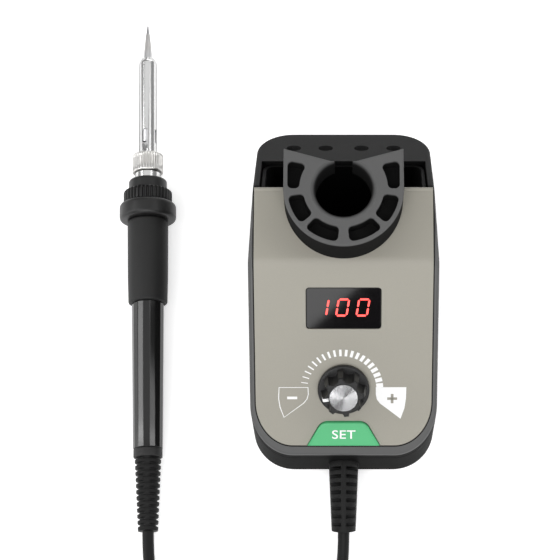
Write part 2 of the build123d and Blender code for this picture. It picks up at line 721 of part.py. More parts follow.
# Inside
def make_transformer_core():
    leg_gap = (CORE_W - CORE_LEG - 2 * CORE_YOKE) / 2
    core = Box(CORE_W, CORE_D, CORE_H, align=UP)
    window = Box(leg_gap, 2 * CORE_D, CORE_H - 2 * CORE_YOKE, align=UP)
    for side in (-1, 1):
        core -= Pos(side * (CORE_LEG + leg_gap) / 2, 0, CORE_YOKE) * window
    core += Box(EAR_W, CORE_D, EAR_T, align=UP)
    for side in (-1, 1):
        core -= Pos(side * ear_screw_x(), 0, 0) * Cylinder(SCREW_D / 2 + HOLE_PLAY, 3 * EAR_T)
    return Pos(0, TRANSFORMER_Y, BASE_TOP) * core


def ear_screw_x():
    return (EAR_W + CORE_W) / 4


def make_transformer_coil():
    tall = CORE_H - 2 * CORE_YOKE - 2 * COIL_PLAY
    wide, deep = CORE_LEG + 2 * COIL_PLAY, CORE_D + 2 * COIL_PLAY
    outer = RectangleRounded(wide + 2 * COIL_WALL, deep + 2 * COIL_WALL, COIL_WALL / 2)
    ring = extrude(outer - Rectangle(wide, deep), tall)
    return Pos(0, TRANSFORMER_Y, BASE_TOP + CORE_YOKE + COIL_PLAY) * ring


def make_transformer_screws():
    return [Pos(side * ear_screw_x(), TRANSFORMER_Y, BASE_TOP + EAR_T) * screw(EAR_T) for side in (-1, 1)]


# Back wall
def facing_back(x, z):
    """Place on the back wall: local X to the right seen from the front, local Z out of the wall."""
    return Plane(origin=(x, BACK_Y, z), x_dir=(1, 0, 0), z_dir=(0, 1, 0))


def make_power_inlet():
    body = Box(INLET_W, INLET_H, INLET_DEEP, align=DOWN)
    body += Box(INLET_W + 2 * INLET_FLANGE, INLET_H + 2 * INLET_FLANGE, INLET_FLANGE_T, align=UP)
    mouth = extrude(RectangleRounded(RECESS_W, RECESS_H, RECESS_H / 6), -RECESS_DEEP - INLET_FLANGE_T)
    body -= Pos(0, 0, INLET_FLANGE_T) * mouth
    return facing_back(INLET_X, INLET_Z).location * body


def make_inlet_pins():
    place = facing_back(INLET_X, INLET_Z).location
    return [place * Pos(step * PIN_SPACING, (1 - abs(step)) * PIN_H / 2, -RECESS_DEEP)
            * Box(PIN_W, PIN_H, PIN_L, align=UP) for step in (-1, 0, 1)]


def rocker_hole_w():
    return ROCKER_W + 2 * ROCKER_PLAY + 2 * (ROCKER_FRAME - ROCKER_LIP)


def rocker_hole_l():
    return ROCKER_L + 4 * ROCKER_PLAY + 2 * (ROCKER_FRAME - ROCKER_LIP)


def make_rocker_housing():
    wide = ROCKER_W + 2 * ROCKER_PLAY
    tall = ROCKER_L + 4 * ROCKER_PLAY
    body = Box(rocker_hole_w(), rocker_hole_l(), ROCKER_DEEP, align=DOWN)
    body += Box(wide + 2 * ROCKER_FRAME, tall + 2 * ROCKER_FRAME, ROCKER_FLANGE_T, align=UP)
    body -= Pos(0, 0, ROCKER_FLANGE_T) * Box(wide, tall, ROCKER_WELL + ROCKER_FLANGE_T, align=DOWN)
    body -= Pos(0, 0, -ROCKER_PIVOT_IN) * rocker_pin(FIT)
    return facing_back(ROCKER_X, ROCKER_Z).location * body


def rocker_pin(play):
    """Pivot right across the rocker and into its housing's walls."""
    return Rot(0, 90, 0) * Cylinder(PIVOT_D / 2 + play, ROCKER_W + 2 * (ROCKER_PLAY + PIVOT_L + play))


def make_power_rocker():
    half = ROCKER_L / 2
    outline = Polyline((half, ROCKER_EDGE_PROUD), (0, ROCKER_DIP), (-half, ROCKER_EDGE_PROUD),
                       (-half + ROCKER_BACK / 2, -ROCKER_BACK), (half - ROCKER_BACK / 2, -ROCKER_BACK), close=True)
    key = extrude(Plane.YZ * make_face(outline), ROCKER_W / 2, both=True) + rocker_pin(0)
    place = facing_back(ROCKER_X, ROCKER_Z).location * Pos(0, 0, -ROCKER_PIVOT_IN)
    return place * Rot(ROCKER_TILT, 0, 0) * key


# Strain relief of the case
def relief_at(along):
    """Plane across the drooping relief at a distance from the wall, looking out along it."""
    radius = RELIEF_L / radians(RELIEF_DROOP)
    turn = along / radius
    return Plane(origin=(0, FRONT_Y - radius * sin(turn), RELIEF_Z - radius * (1 - cos(turn))),
                 x_dir=(1, 0, 0), z_dir=(0, -cos(turn), -sin(turn)))


def make_station_strain_relief():
    start, end = relief_at(0), relief_at(RELIEF_L)
    path = TangentArc(start.origin, end.origin, tangent=start.z_dir)
    relief = sweep([start * Circle(RELIEF_ROOT_D / 2), end * Circle(RELIEF_END_D / 2)], path, multisection=True)
    pitch = (RELIEF_L - RELIEF_ROOT_T - RELIEF_TAIL) / RELIEF_BANDS
    slot_l = pitch * RELIEF_SLOT_SHARE
    for band in range(RELIEF_BANDS):
        middle = RELIEF_ROOT_T + (band + 0.5) * pitch
        radius = (RELIEF_ROOT_D + (RELIEF_END_D - RELIEF_ROOT_D) * middle / RELIEF_L) / 2
        slot_w = radius - RELIEF_RAIL - RELIEF_SPINE_W / 2
        for side in (-1, 1):
            for up in (-1, 1):
                slot = Pos(side * (RELIEF_SPINE_W + slot_w) / 2, up * (RELIEF_SLOT_FLOOR + radius / 2), 0) * Box(
                    slot_w, radius, slot_l)
                relief -= relief_at(middle).location * slot
    relief += start.location * Cylinder(RELIEF_NECK_D / 2 - FIT, WALL + FIT, align=DOWN)
    lock = Cylinder(RELIEF_LOCK_D / 2, RELIEF_LOCK_T, align=DOWN)
    return relief + start.location * Pos(0, 0, -WALL - FIT) * lock


# Iron, built upright with its cord end at the origin, then laid down
RING_AT = BELLOWS_L
HANDLE_AT = RING_AT + END_RING_L
GRIP_AT = HANDLE_AT + HANDLE_L
GUARD_AT = GRIP_AT + GRIP_L
RIBS_AT = GUARD_AT + GUARD_L
NOSE_AT = RIBS_AT + RIB_RING_L
SOCKET_AT = NOSE_AT + NOSE_L
NUT_AT = SOCKET_AT + SOCKET_L
BARREL_AT = NUT_AT + NUT_L
CONE_AT = BARREL_AT + BARREL_L
POINT_AT = CONE_AT + CONE_L
SLEEVE_FOOT_AT = NUT_AT + THREAD_L + RUNNING_GAP
SHANK_AT = CONE_AT - SHANK_L


def rounded_tube(start, length, d_start, d_end, bore, round_start, round_end):
    """Turned ring with a straight or tapered outside and its two outer edges rounded."""
    ring = solid_of((bore / 2, start), (d_start / 2, start),
                    (d_end / 2, start + length), (bore / 2, start + length))
    for at, diameter, radius in ((start, d_start, round_start), (start + length, d_end, round_end)):
        if radius:
            edge = [e for e in ring.edges().filter_by(GeomType.CIRCLE)
                    if abs(e.radius - diameter / 2) < COAX_GAP and abs(e.center().Z - at) < COAX_GAP]
            ring = fillet(edge, radius)
    return ring


def make_iron_strain_relief():
    pitch = BELLOWS_L / BELLOWS_RIBS
    points = [(0, 0)]
    for rib in range(BELLOWS_RIBS):
        low = BELLOWS_D_END / 2 + (BELLOWS_D_ROOT - BELLOWS_D_END) / 2 * rib / BELLOWS_RIBS
        high = BELLOWS_D_END / 2 + (BELLOWS_D_ROOT - BELLOWS_D_END) / 2 * (rib + 1) / BELLOWS_RIBS
        rib_end = rib + BELLOWS_RIB_SHARE
        points += [(low, rib * pitch), (low, rib_end * pitch),
                   (high - BELLOWS_GROOVE, (rib_end + BELLOWS_SIDE_SHARE) * pitch),
                   (high - BELLOWS_GROOVE, (rib + 1) * pitch)]
    points += [(0, BELLOWS_L)]
    return solid_of(*points)


def make_handle_end_ring():
    return rounded_tube(RING_AT, END_RING_L, END_RING_D, END_RING_D, WIRE_BORE_D, END_RING_ROUND, END_RING_ROUND)


def make_handle():
    across = cos(pi / HANDLE_FLATS)
    low = Pos(0, 0, HANDLE_AT) * RegularPolygon(HANDLE_D_END / 2 / across, HANDLE_FLATS)
    high = Pos(0, 0, GRIP_AT) * RegularPolygon(HANDLE_D_GRIP / 2 / across, HANDLE_FLATS)
    body = loft([low, high])
    body += Pos(0, 0, GRIP_AT) * Cylinder(SPIGOT_D / 2, RIBS_AT - GRIP_AT, align=UP)
    return body - Pos(0, 0, HANDLE_AT) * Cylinder(WIRE_BORE_D / 2, RIBS_AT - HANDLE_AT, align=UP)


def make_grip():
    return rounded_tube(GRIP_AT, GRIP_L, GRIP_D_REAR, GRIP_D_FRONT, SPIGOT_D + 2 * COAX_GAP, GRIP_ROUND, 0)


def make_finger_guard():
    return rounded_tube(GUARD_AT, GUARD_L, GUARD_D, GUARD_D, SPIGOT_D + 2 * COAX_GAP, GUARD_ROUND, GUARD_ROUND)


def make_nose_collar():
    ring = rounded_tube(RIBS_AT, RIB_RING_L, RIB_RING_D, RIB_RING_D, WIRE_BORE_D, 0, RIB_RING_ROUND)
    for rib in range(RIB_RING_RIBS):
        ring -= (Rot(0, 0, rib * 360 / RIB_RING_RIBS) * Pos(RIB_RING_D / 2, 0, RIBS_AT)
                 * Cylinder(RIB_DEPTH, RIB_RING_L, align=UP))
    return ring + rounded_tube(NOSE_AT, NOSE_L, NOSE_D, NOSE_D, WIRE_BORE_D, 0, NOSE_ROUND)


def make_barrel_socket():
    bore = (HEATER_D + WIRE_BORE_D) / 2
    return solid_of((bore / 2, SOCKET_AT), (SOCKET_D / 2, SOCKET_AT), (SOCKET_D / 2, NUT_AT),
                    (THREAD_D / 2, NUT_AT), (THREAD_D / 2, NUT_AT + THREAD_L), (bore / 2, NUT_AT + THREAD_L))


def make_heater():
    top = CONE_AT - SHANK_L + HEATER_IN_TIP
    return Pos(0, 0, RIBS_AT) * Cylinder(HEATER_D / 2, top - RIBS_AT, align=UP)


def make_sleeve_nut():
    inner = THREAD_D / 2 + RUNNING_GAP
    front = BARREL_AT - NUT_WALL
    nut = solid_of((inner, NUT_AT + RUNNING_GAP), (NUT_D / 2, NUT_AT + RUNNING_GAP), (NUT_D / 2, BARREL_AT),
                   (BARREL_D / 2 + RUNNING_GAP, BARREL_AT), (BARREL_D / 2 + RUNNING_GAP, front), (inner, front))
    outer = [e for e in nut.edges().filter_by(GeomType.CIRCLE) if abs(e.radius - NUT_D / 2) < COAX_GAP]
    nut = chamfer(outer, NUT_RIB_DEPTH)
    for rib in range(NUT_RIBS):
        nut -= (Rot(0, 0, rib * 360 / NUT_RIBS) * Pos(NUT_D / 2, 0, NUT_AT)
                * Cylinder(NUT_RIB_DEPTH, NUT_L, align=UP))
    return nut


def make_tip_sleeve():
    outer, inner = BARREL_D / 2, BARREL_D / 2 - BARREL_T
    mouth = CONE_D_ROOT / 2 + COAX_GAP
    foot = THREAD_D / 2
    sleeve = solid_of((inner, SLEEVE_FOOT_AT), (foot, SLEEVE_FOOT_AT), (foot, SLEEVE_FOOT_AT + NUT_WALL),
                      (outer, SLEEVE_FOOT_AT + NUT_WALL), (outer, CONE_AT - BARREL_SHOULDER),
                      (mouth + BARREL_T, CONE_AT), (mouth, CONE_AT), (mouth, CONE_AT - BARREL_T),
                      (inner, CONE_AT - BARREL_SHOULDER))
    shoulder = [e for e in sleeve.edges().filter_by(GeomType.CIRCLE)
                if abs(e.radius - outer) < COAX_GAP and abs(e.center().Z - CONE_AT + BARREL_SHOULDER) < COAX_GAP]
    sleeve = fillet(shoulder, BARREL_SHOULDER)
    slot = extrude(SlotOverall(VENT_L, VENT_W), BARREL_D)
    for vent in range(VENT_COUNT):
        sleeve -= (Rot(0, 0, VENT_TURN - 90 + vent * 360 / VENT_COUNT)
                   * Pos(0, 0, BARREL_AT + VENT_FROM_NUT + VENT_L / 2) * Rot(0, 90, 0) * slot)
    return sleeve


def make_soldering_tip():
    bore = HEATER_D / 2 + RUNNING_GAP
    shank_end = CONE_AT - BARREL_SHOULDER - BARREL_T
    heater_end = SHANK_AT + HEATER_IN_TIP + RUNNING_GAP
    tip = solid_of((bore, SHANK_AT), (SHANK_D / 2, SHANK_AT), (SHANK_D / 2, shank_end),
                   (CONE_D_ROOT / 2, shank_end + COAX_GAP), (CONE_D_ROOT / 2, CONE_AT), (CONE_D_END / 2, POINT_AT),
                   (POINT_D / 2, POINT_AT + POINT_L), (0, POINT_AT + POINT_L), (0, heater_end), (bore, heater_end))
    return tip


# Cord
def biarc(start, start_dir, end, end_dir):
    """Two arcs that leave start along start_dir and arrive at end along end_dir."""
    across = end - start
    turn = start_dir + end_dir
    bend = 2 * (1 - start_dir.dot(end_dir))
    reach = across.dot(turn)
    arm = ((reach ** 2 + bend * across.dot(across)) ** 0.5 - reach) / bend
    first, second = start + start_dir * arm, end - end_dir * arm
    middle = (first + second) * 0.5
    return [TangentArc(start, middle, tangent=start_dir),
            TangentArc(middle, end, tangent=(second - first).normalized())]


def coil_point(turn):
    """Middle of the coiled cord after a number of turns: in on the floor, up half a turn, and out above."""
    out_from = COIL_TURNS + 0.5
    radius = COIL_R_OUT - COIL_PITCH * (turn if turn < COIL_TURNS else
                                        COIL_TURNS if turn < out_from else COIL_TURNS - (turn - out_from))
    climb = min(max((turn - COIL_TURNS) * 2, 0), 1)
    radius -= COIL_DIP * sin(pi * climb) ** 2
    angle = -2 * pi * turn
    return Vector(COIL_X + radius * cos(angle), COIL_Y + radius * sin(angle),
                  COIL_Z + COIL_LAYER * climb * climb * (3 - 2 * climb))


def coil_direction(turn):
    """Heading of the coiled cord; the spiral's own change of radius is left out at the two ends."""
    step = 1e-4
    whole = 2 * COIL_TURNS + 0.5
    if turn <= 0 or turn >= whole:
        return Vector(0, -1 if turn <= 0 else 1, 0)
    return (coil_point(turn + step) - coil_point(turn - step)).normalized()


def make_cord_coil():
    whole = 2 * COIL_TURNS + 0.5
    stops = [step / 4 for step in range(int(whole * 4) + 1)]
    pieces = [Line(coil_point(0) + Vector(0, CORD_D, 0), coil_point(0))]
    for low, high in zip(stops, stops[1:]):
        pieces += biarc(coil_point(low), coil_direction(low), coil_point(high), coil_direction(high))
    pieces.append(Line(coil_point(whole), coil_point(whole) + Vector(0, CORD_D, 0)))
    path = Wire([edge for piece in pieces for edge in piece.edges()])
    print("coil", "length", round(path.length, 1), "least gap", round(least_gap(), 2))
    return tube_along(path)


def least_gap():
    """Least clear distance between different turns of the coil, on points a few degrees apart."""
    per_turn = 60
    dots = [coil_point(step / per_turn) for step in range(int((2 * COIL_TURNS + 0.5) * per_turn) + 1)]
    apart = per_turn // 2
    return min((a - b).length for i, a in enumerate(dots) for b in dots[i + apart:]) - CORD_D


def tube_along(path):
    """Round cord swept along a path, with its volume compared with section times length."""
    section = Plane(origin=path @ 0, z_dir=path % 0) * Circle(CORD_D / 2)
    tube = sweep(section, path)
    print("  volume share", round(tube.volume / (pi * CORD_D ** 2 / 4 * path.length), 4))
    return tube


def cord_run(name, points):
    """Loose cord along hand-chosen points, with every corner rounded as widely as its runs allow."""
    places = [Vector(point) for point in points]
    runs = [after - before for before, after in zip(places, places[1:])]
    radii = []
    for before, after in zip(runs, runs[1:]):
        half_turn = radians(before.get_angle(after)) / 2
        radii.append(CORD_CORNER_SHARE * min(before.length, after.length) / tan(half_turn))
    print(name, "radii", [round(radius, 1) for radius in radii])
    return tube_along(FilletPolyline(*places, radius=radii))


def station_points():
    end = relief_at(RELIEF_L)
    return [end.origin, end.origin + end.z_dir * CORD_FALL, STATION_BEND,
            coil_point(0) + Vector(0, CORD_D + CORD_LEAD, 0), coil_point(0) + Vector(0, CORD_D, 0)]


def iron_points():
    top = coil_point(2 * COIL_TURNS + 0.5) + Vector(0, CORD_D, 0)
    end = IRON.origin - IRON_AXIS * CORD_GAP
    return [top, top + Vector(0, CORD_RISE, 0), IRON_BEND, end - IRON_AXIS * CORD_LEAD, end]


def make_cord_tie():
    """Strap round all the turns at one place of the coil."""
    radii = [(coil_point(turn) - Vector(COIL_X, COIL_Y, coil_point(turn).Z)).length
             for turn in tie_turns()]
    inner = min(radii) - CORD_D / 2 - TIE_SLACK
    outer = max(radii) + CORD_D / 2 + TIE_SLACK
    low = COIL_Z - CORD_D / 2 - TIE_LIFT
    tall = COIL_LAYER + CORD_D + TIE_LIFT + TIE_SLACK
    across = outer - inner
    hole = Pos((inner + outer) / 2, low + tall / 2) * RectangleRounded(across, tall, CORD_D / 3)
    strap = Pos((inner + outer) / 2, low + tall / 2) * RectangleRounded(across + 2 * TIE_T, tall + 2 * TIE_T,
                                                                       CORD_D / 3 + TIE_T)
    band = extrude(Plane.XZ * (strap - hole), TIE_W / 2, both=True)
    return Pos(COIL_X, COIL_Y, 0) * Rot(0, 0, TIE_ANGLE) * band


def tie_turns():
    """Turn counts at which the coil passes the tie."""
    first = (360 - TIE_ANGLE) / 360
    return [first + turn for turn in range(2 * COIL_TURNS)]


PIECES = {
    "top_shell": make_top_shell, "bottom_case": make_bottom_case, "base_plate": make_base_plate,
    "rubber_feet": make_rubber_feet, "case_screws": make_case_screws, "well_liner": make_well_liner,
    "front_panel": make_front_panel, "display_window": make_display_window, "led_display": make_led_display,
    "control_board": make_control_board, "board_screws": make_board_screws, "potentiometer": make_potentiometer,
    "pot_nut": make_pot_nut, "pot_shaft": make_pot_shaft, "knob": make_knob, "knob_pointer": make_knob_pointer,
    "knob_cap": make_knob_cap, "set_button": make_set_button, "set_switch": make_set_switch,
    "iron_holder": make_iron_holder, "holder_screws": make_holder_screws,
    "transformer_core": make_transformer_core, "transformer_coil": make_transformer_coil,
    "transformer_screws": make_transformer_screws, "power_inlet": make_power_inlet, "inlet_pins": make_inlet_pins,
    "rocker_housing": make_rocker_housing, "power_rocker": make_power_rocker,
    "station_strain_relief": make_station_strain_relief, "cord_coil": make_cord_coil, "cord_tie": make_cord_tie,
    "cord_station_run": lambda: cord_run("station run", station_points()),
    "cord_iron_run": lambda: cord_run("iron run", iron_points()),
}
IRON_PIECES = {
    "iron_strain_relief": make_iron_strain_relief, "handle_end_ring": make_handle_end_ring, "handle": make_handle,
    "grip": make_grip, "finger_guard": make_finger_guard, "nose_collar": make_nose_collar,
    "barrel_socket": make_barrel_socket, "heater": make_heater, "sleeve_nut": make_sleeve_nut,
    "tip_sleeve": make_tip_sleeve, "soldering_tip": make_soldering_tip,
}


def main():
    os.makedirs("parts", exist_ok=True)
    for name, make in PIECES.items():
        shape = make()
        if isinstance(shape, list):
            shape = Compound(children=shape)
        export_step(shape, f"parts/{name}.step")
    for name, make in IRON_PIECES.items():
        export_step(IRON.location * make(), f"parts/{name}.step")


main()
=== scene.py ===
"""Finish of a soldering iron station: smooth shells, turned iron pieces, printed panel, display and cord."""
import json
from math import cos, pi, radians, sin, tan

import bmesh
import bpy
import numpy as np
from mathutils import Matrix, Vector


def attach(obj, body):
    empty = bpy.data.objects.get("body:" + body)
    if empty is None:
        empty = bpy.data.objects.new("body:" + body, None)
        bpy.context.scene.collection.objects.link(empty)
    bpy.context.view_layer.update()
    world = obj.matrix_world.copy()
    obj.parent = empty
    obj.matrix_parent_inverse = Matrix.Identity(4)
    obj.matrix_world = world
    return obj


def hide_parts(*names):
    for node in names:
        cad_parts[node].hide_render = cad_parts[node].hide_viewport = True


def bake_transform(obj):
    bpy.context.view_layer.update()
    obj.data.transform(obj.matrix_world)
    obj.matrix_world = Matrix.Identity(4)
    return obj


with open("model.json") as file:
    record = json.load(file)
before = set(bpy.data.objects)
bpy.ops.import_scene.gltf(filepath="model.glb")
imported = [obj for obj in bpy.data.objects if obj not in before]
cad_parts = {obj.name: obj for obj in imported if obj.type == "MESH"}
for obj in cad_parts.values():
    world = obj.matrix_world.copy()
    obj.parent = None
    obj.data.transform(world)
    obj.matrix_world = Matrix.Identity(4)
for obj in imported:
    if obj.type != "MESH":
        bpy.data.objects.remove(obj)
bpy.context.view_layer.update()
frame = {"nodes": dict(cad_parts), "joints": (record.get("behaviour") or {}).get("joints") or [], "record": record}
nodes = frame["nodes"]
joints = {joint["name"]: joint for joint in frame["joints"]}
bodies = frame["record"]["behaviour"]["bodies"]
bodies_of = {node: body for body, members in bodies.items() for node in members}
slots_of = {part["node"]: part["material_slot"] for part in frame["record"]["subparts"]}
MM = 0.001

# Panel: across to the right, down the slope from the bend, and out of the face
PANEL_SLOPE = radians(38)
BEND = np.array((0.0, -4.0, 80.5))
ACROSS = np.array((1.0, 0.0, 0.0))
DOWNHILL = np.array((0.0, -cos(PANEL_SLOPE), -sin(PANEL_SLOPE)))
OUTWARD = np.array((0.0, -sin(PANEL_SLOPE), cos(PANEL_SLOPE)))
KNOB_DOWN = 55.5
PRINT_T = 0.06
PRINT_SINK = 0.02

# Holder: its top face leans back a little, so heights are taken along its own upright; the top face is painted
# lighter as if lit from above, the walls darker as if shaded
HOLDER_LEAN = radians(3)
HOLDER_UP = (0.0, -sin(HOLDER_LEAN), cos(HOLDER_LEAN))
HOLDER_LIT_SKIN = 1.8 * MM
HOLDER_LIT_SKIN_FULL = 0.4 * MM

# Shell: a painted highlight on the skin under the panel's planes, a painted shadow for the seam round the panel,
# and a little painted light on the rear deck behind them
UPPER_SLOPE = radians(10)
UPPER_OUT = (0.0, -sin(UPPER_SLOPE), cos(UPPER_SLOPE))
RIM_HIGHLIGHT_SKIN = 1.3 * MM
RIM_HIGHLIGHT_SKIN_FULL = 0.4 * RIM_HIGHLIGHT_SKIN
PANEL_HALF_W = 36.95 * MM
PANEL_FRONT = 68.15 * MM
PANEL_CORNER_R = 15.55 * MM
SEAM_SHADOW_W = 0.55 * MM
SEAM_SHADOW_FULL_W = 0.8 * SEAM_SHADOW_W
DECK_FROM = 27 * MM
DECK_FADE = 2 * MM
DECK_PAINTED_LIGHT = 0.13

# Iron: its axis runs through the nut's hinge, and distances run from the cord end to the tip
NUT_HINGE_ALONG = 168.0
IRON_AXIS = np.array(joints["nut_turn"]["axis"], float)
IRON_AXIS /= np.linalg.norm(IRON_AXIS)
IRON_END = np.array(joints["nut_turn"]["pos_m"], float) / MM - IRON_AXIS * NUT_HINGE_ALONG
IRON_SIDE = np.cross(IRON_AXIS, (0.0, 0.0, 1.0))
IRON_SIDE /= np.linalg.norm(IRON_SIDE)
IRON_TOP = np.cross(IRON_SIDE, IRON_AXIS)

# Plastic: grain and patches in the surface
GRAIN_MM = 0.35
GRAIN_DEPTH_MM = 0.02
PATCH_SCALE = 45.0
MOTTLE = 0.12

# Tip: where the heat tint and the tinned end start and are full, along Y in metres
HEAT_FROM = 0.123
HEAT_FULL = 0.128
TINNED_FROM = 0.1325
TINNED_FULL = 0.134

# Mesh clean-up and edges: gaps in metres, angles in degrees
POLE_GAP = 1e-7
SLIVER = 1e-8
FACET_GAP = 2e-6
FACET_ANGLE = 0.5
SMOOTH_ANGLE = 35
ROUND_ANGLE = 50
EDGE_ANGLE = 32
EDGE_SEGMENTS = 2
CORNER_STEPS = 6
TURN_STEPS = 96


def points_of(mesh):
    """A mesh's points as rows of three, in its own units."""
    flat = np.empty(len(mesh.vertices) * 3)
    mesh.vertices.foreach_get("co", flat)
    return flat.reshape(-1, 3)


class Wire:
    """A node's output; sums, differences and products add Math nodes."""

    def __init__(self, finish, socket):
        self.finish = finish
        self.socket = socket

    def _math(self, operation, first, second):
        """One Math node on two values."""
        return self.finish.add("ShaderNodeMath", {"operation": operation}, first, second)

    def __add__(self, other):
        return self._math("ADD", self, other)

    __radd__ = __add__

    def __sub__(self, other):
        return self._math("SUBTRACT", self, other)

    def __rsub__(self, other):
        return self._math("SUBTRACT", other, self)

    def __mul__(self, other):
        return self._math("MULTIPLY", self, other)

    __rmul__ = __mul__

    def __abs__(self):
        return self._math("ABSOLUTE", self, 0.0)

    def root(self):
        """Square root."""
        return self._math("POWER", self, 0.5)

    def or_higher(self, other):
        """The higher of two values."""
        return self._math("MAXIMUM", self, other)

    def between(self, low, high):
        """Share of the way from low to high, held to 0 and 1."""
        settings = {"interpolation_type": "SMOOTHSTEP"}
        return self.finish.add("ShaderNodeMapRange", settings, self, low, high, 0.0, 1.0)


class Finish:
    """A procedural material: steady socket values first, then expressions for what changes over it."""

    def __init__(self, name, **steady):
        self.material = bpy.data.materials.new(name)
        self.material.use_nodes = True
        self.tree = self.material.node_tree
        self.shader = self.tree.nodes["Principled BSDF"]
        self.coordinates = None
        for socket, value in steady.items():
            self.feed(self.shader.inputs[socket.replace("_", " ")], value)

    def feed(self, socket, value):
        """Links a wire to a socket, or sets the socket to a plain value."""
        if isinstance(value, Wire):
            self.tree.links.new(value.socket, socket)
        else:
            socket.default_value = value

    def add(self, kind, settings, *values, output=0, **named):
        """A node with its settings and with inputs by place or by name, as the wire of one output."""
        node = self.tree.nodes.new(kind)
        for key, value in settings.items():
            setattr(node, key, value)
        for place, value in [*enumerate(values), *named.items()]:
            self.feed(node.inputs[place], value)
        return Wire(self, node.outputs[output])

    def place(self, stretch=(1, 1, 1)):
        """Object coordinates, stretched along the axes."""
        if self.coordinates is None:
            self.coordinates = self.add("ShaderNodeTexCoord", {}, output="Object")
        return self.add("ShaderNodeMapping", {}, self.coordinates, (0, 0, 0), (0, 0, 0), stretch)

    def along(self, direction):
        """Distance of the point from the origin along a direction, in metres."""
        settings = {"operation": "DOT_PRODUCT"}
        return self.add("ShaderNodeVectorMath", settings, self.place(), direction, output="Value")

    def noise(self, scale, detail=2.0, stretch=(1, 1, 1)):
        """Noise of a given number of cells in a metre, finer with more detail."""
        return self.add("ShaderNodeTexNoise", {}, Vector=self.place(stretch), Scale=scale, Detail=detail)

    def blend(self, share, first, second):
        """Colour between first and second."""
        mix = self.tree.nodes.new("ShaderNodeMix")
        mix.data_type = "RGBA"
        for place, value in ((0, share), (6, first), (7, second)):
            self.feed(mix.inputs[place], value)
        return Wire(self, mix.outputs[2])

    def vary(self, socket, value):
        """Feeds an expression to a socket of the shader."""
        self.feed(self.shader.inputs[socket], value)

    def bump(self, height, depth_mm):
        """Dents in the shading, of the given depth where the height goes from 0 to 1."""
        dents = self.add("ShaderNodeBump", {}, Strength=1.0, Distance=depth_mm * MM, Height=height)
        self.vary("Normal", dents)


def grey(level):
    """Linear colour of a grey."""
    return (level, level, level, 1.0)


def tinted(colour, share):
    """Colour made lighter or darker by a share."""
    return (*(channel * share for channel in colour[:3]), 1.0)


# Finishes
def moulded(name, colour, roughness=0.5, grain_mm=GRAIN_MM, depth_mm=GRAIN_DEPTH_MM, mottle=MOTTLE,
            spec=0.5):
    """Moulded plastic: a spark-eroded grain, and patches a little lighter, darker, smoother and rougher."""
    finish = Finish(name, Specular_IOR_Level=spec)
    grain = finish.noise(1 / (grain_mm * MM), detail=1.0)
    patches = finish.noise(PATCH_SCALE, detail=3.0)
    finish.vary("Base Color", finish.blend(patches, tinted(colour, 1 - mottle), tinted(colour, 1 + mottle)))
    finish.vary("Roughness", roughness - 0.05 + 0.06 * patches + 0.05 * grain)
    finish.bump(grain, depth_mm)
    return finish.material


def lit_and_shaded_plastic(name, dull, bright, share, gloss, roughness=0.5):
    """Moulded plastic with painted light: the caller's rule gives where it is painted in the bright, lit tone and
    made slightly glossy, and elsewhere it keeps the dull, shaded tone.
    """
    finish = Finish(name, Specular_IOR_Level=0.01, Coat_Roughness=0.3)
    level = share(finish)
    grain = finish.noise(1 / (GRAIN_MM * MM), detail=1.0)
    patches = finish.noise(PATCH_SCALE, detail=3.0)
    # painted light: the bright tone stands in for lit faces, the dull tone for shaded ones
    tone = finish.blend(level, grey(dull), grey(bright))
    finish.vary("Base Color", finish.blend(MOTTLE * patches, tone, grey(dull)))
    finish.vary("Roughness", roughness + 0.06 * patches + 0.05 * grain)
    finish.vary("Coat Weight", gloss * level)
    finish.bump(grain, GRAIN_DEPTH_MM)
    return finish.material


def past_panel(finish):
    """Distance outside the panel seen from above: past its sides, its front, or the arcs of its corners."""
    side = (abs(finish.along((1, 0, 0))) - (PANEL_HALF_W - PANEL_CORNER_R)).or_higher(0.0)
    front = (finish.along((0, -1, 0)) - (PANEL_FRONT - PANEL_CORNER_R)).or_higher(0.0)
    return (side * side + front * front).root() - PANEL_CORNER_R


def rim_painted_light(finish):
    """Painted light: a painted highlight under the panel's planes but for a painted shadow along the seam, less
    painted light on the rear deck, and the dull, shaded tone down the walls.
    """
    lower = finish.along(OUTWARD) - float(np.dot(BEND, OUTWARD)) * MM
    upper = finish.along(UPPER_OUT) - float(np.dot(BEND, UPPER_OUT)) * MM
    rim = lower.or_higher(upper).between(-RIM_HIGHLIGHT_SKIN, -RIM_HIGHLIGHT_SKIN_FULL)
    # painted shadow of the gap round the panel
    rim = rim * past_panel(finish).between(SEAM_SHADOW_FULL_W, SEAM_SHADOW_W)
    # a little painted light on the rear deck
    deck = finish.along((0, 1, 0)).between(DECK_FROM, DECK_FROM + DECK_FADE)
    return rim.or_higher(DECK_PAINTED_LIGHT * deck)


def holder_painted_light(finish):
    """Painted light: the holder's top face painted bright as if lit from above, its walls and pockets painted dull
    as if in shade.
    """
    top = float((points_of(nodes["iron_holder"].data) @ HOLDER_UP).max())
    return finish.along(HOLDER_UP).between(top - HOLDER_LIT_SKIN, top - HOLDER_LIT_SKIN_FULL)


def painted_panel():
    """Satin grey-beige paint: faint orange peel, a fine metal flake and slow drifts of tone."""
    finish = Finish("panel_paint", Specular_IOR_Level=0.45, Coat_Roughness=0.35)
    colour = (0.268, 0.255, 0.216, 1.0)
    flake = finish.noise(5200.0, detail=0.0)
    drift = finish.noise(30.0, detail=2.0)
    base = finish.blend(drift, tinted(colour, 0.97), tinted(colour, 1.03))
    speck = finish.blend(flake.between(0.35, 0.75), tinted(colour, 0.93), tinted(colour, 1.06))
    finish.vary("Base Color", finish.blend(0.45, base, speck))
    finish.vary("Roughness", 0.44 + 0.08 * drift)
    finish.vary("Coat Weight", 0.1 + 0.05 * drift)
    finish.bump(finish.noise(900.0, detail=2.0), 0.012)
    return finish.material


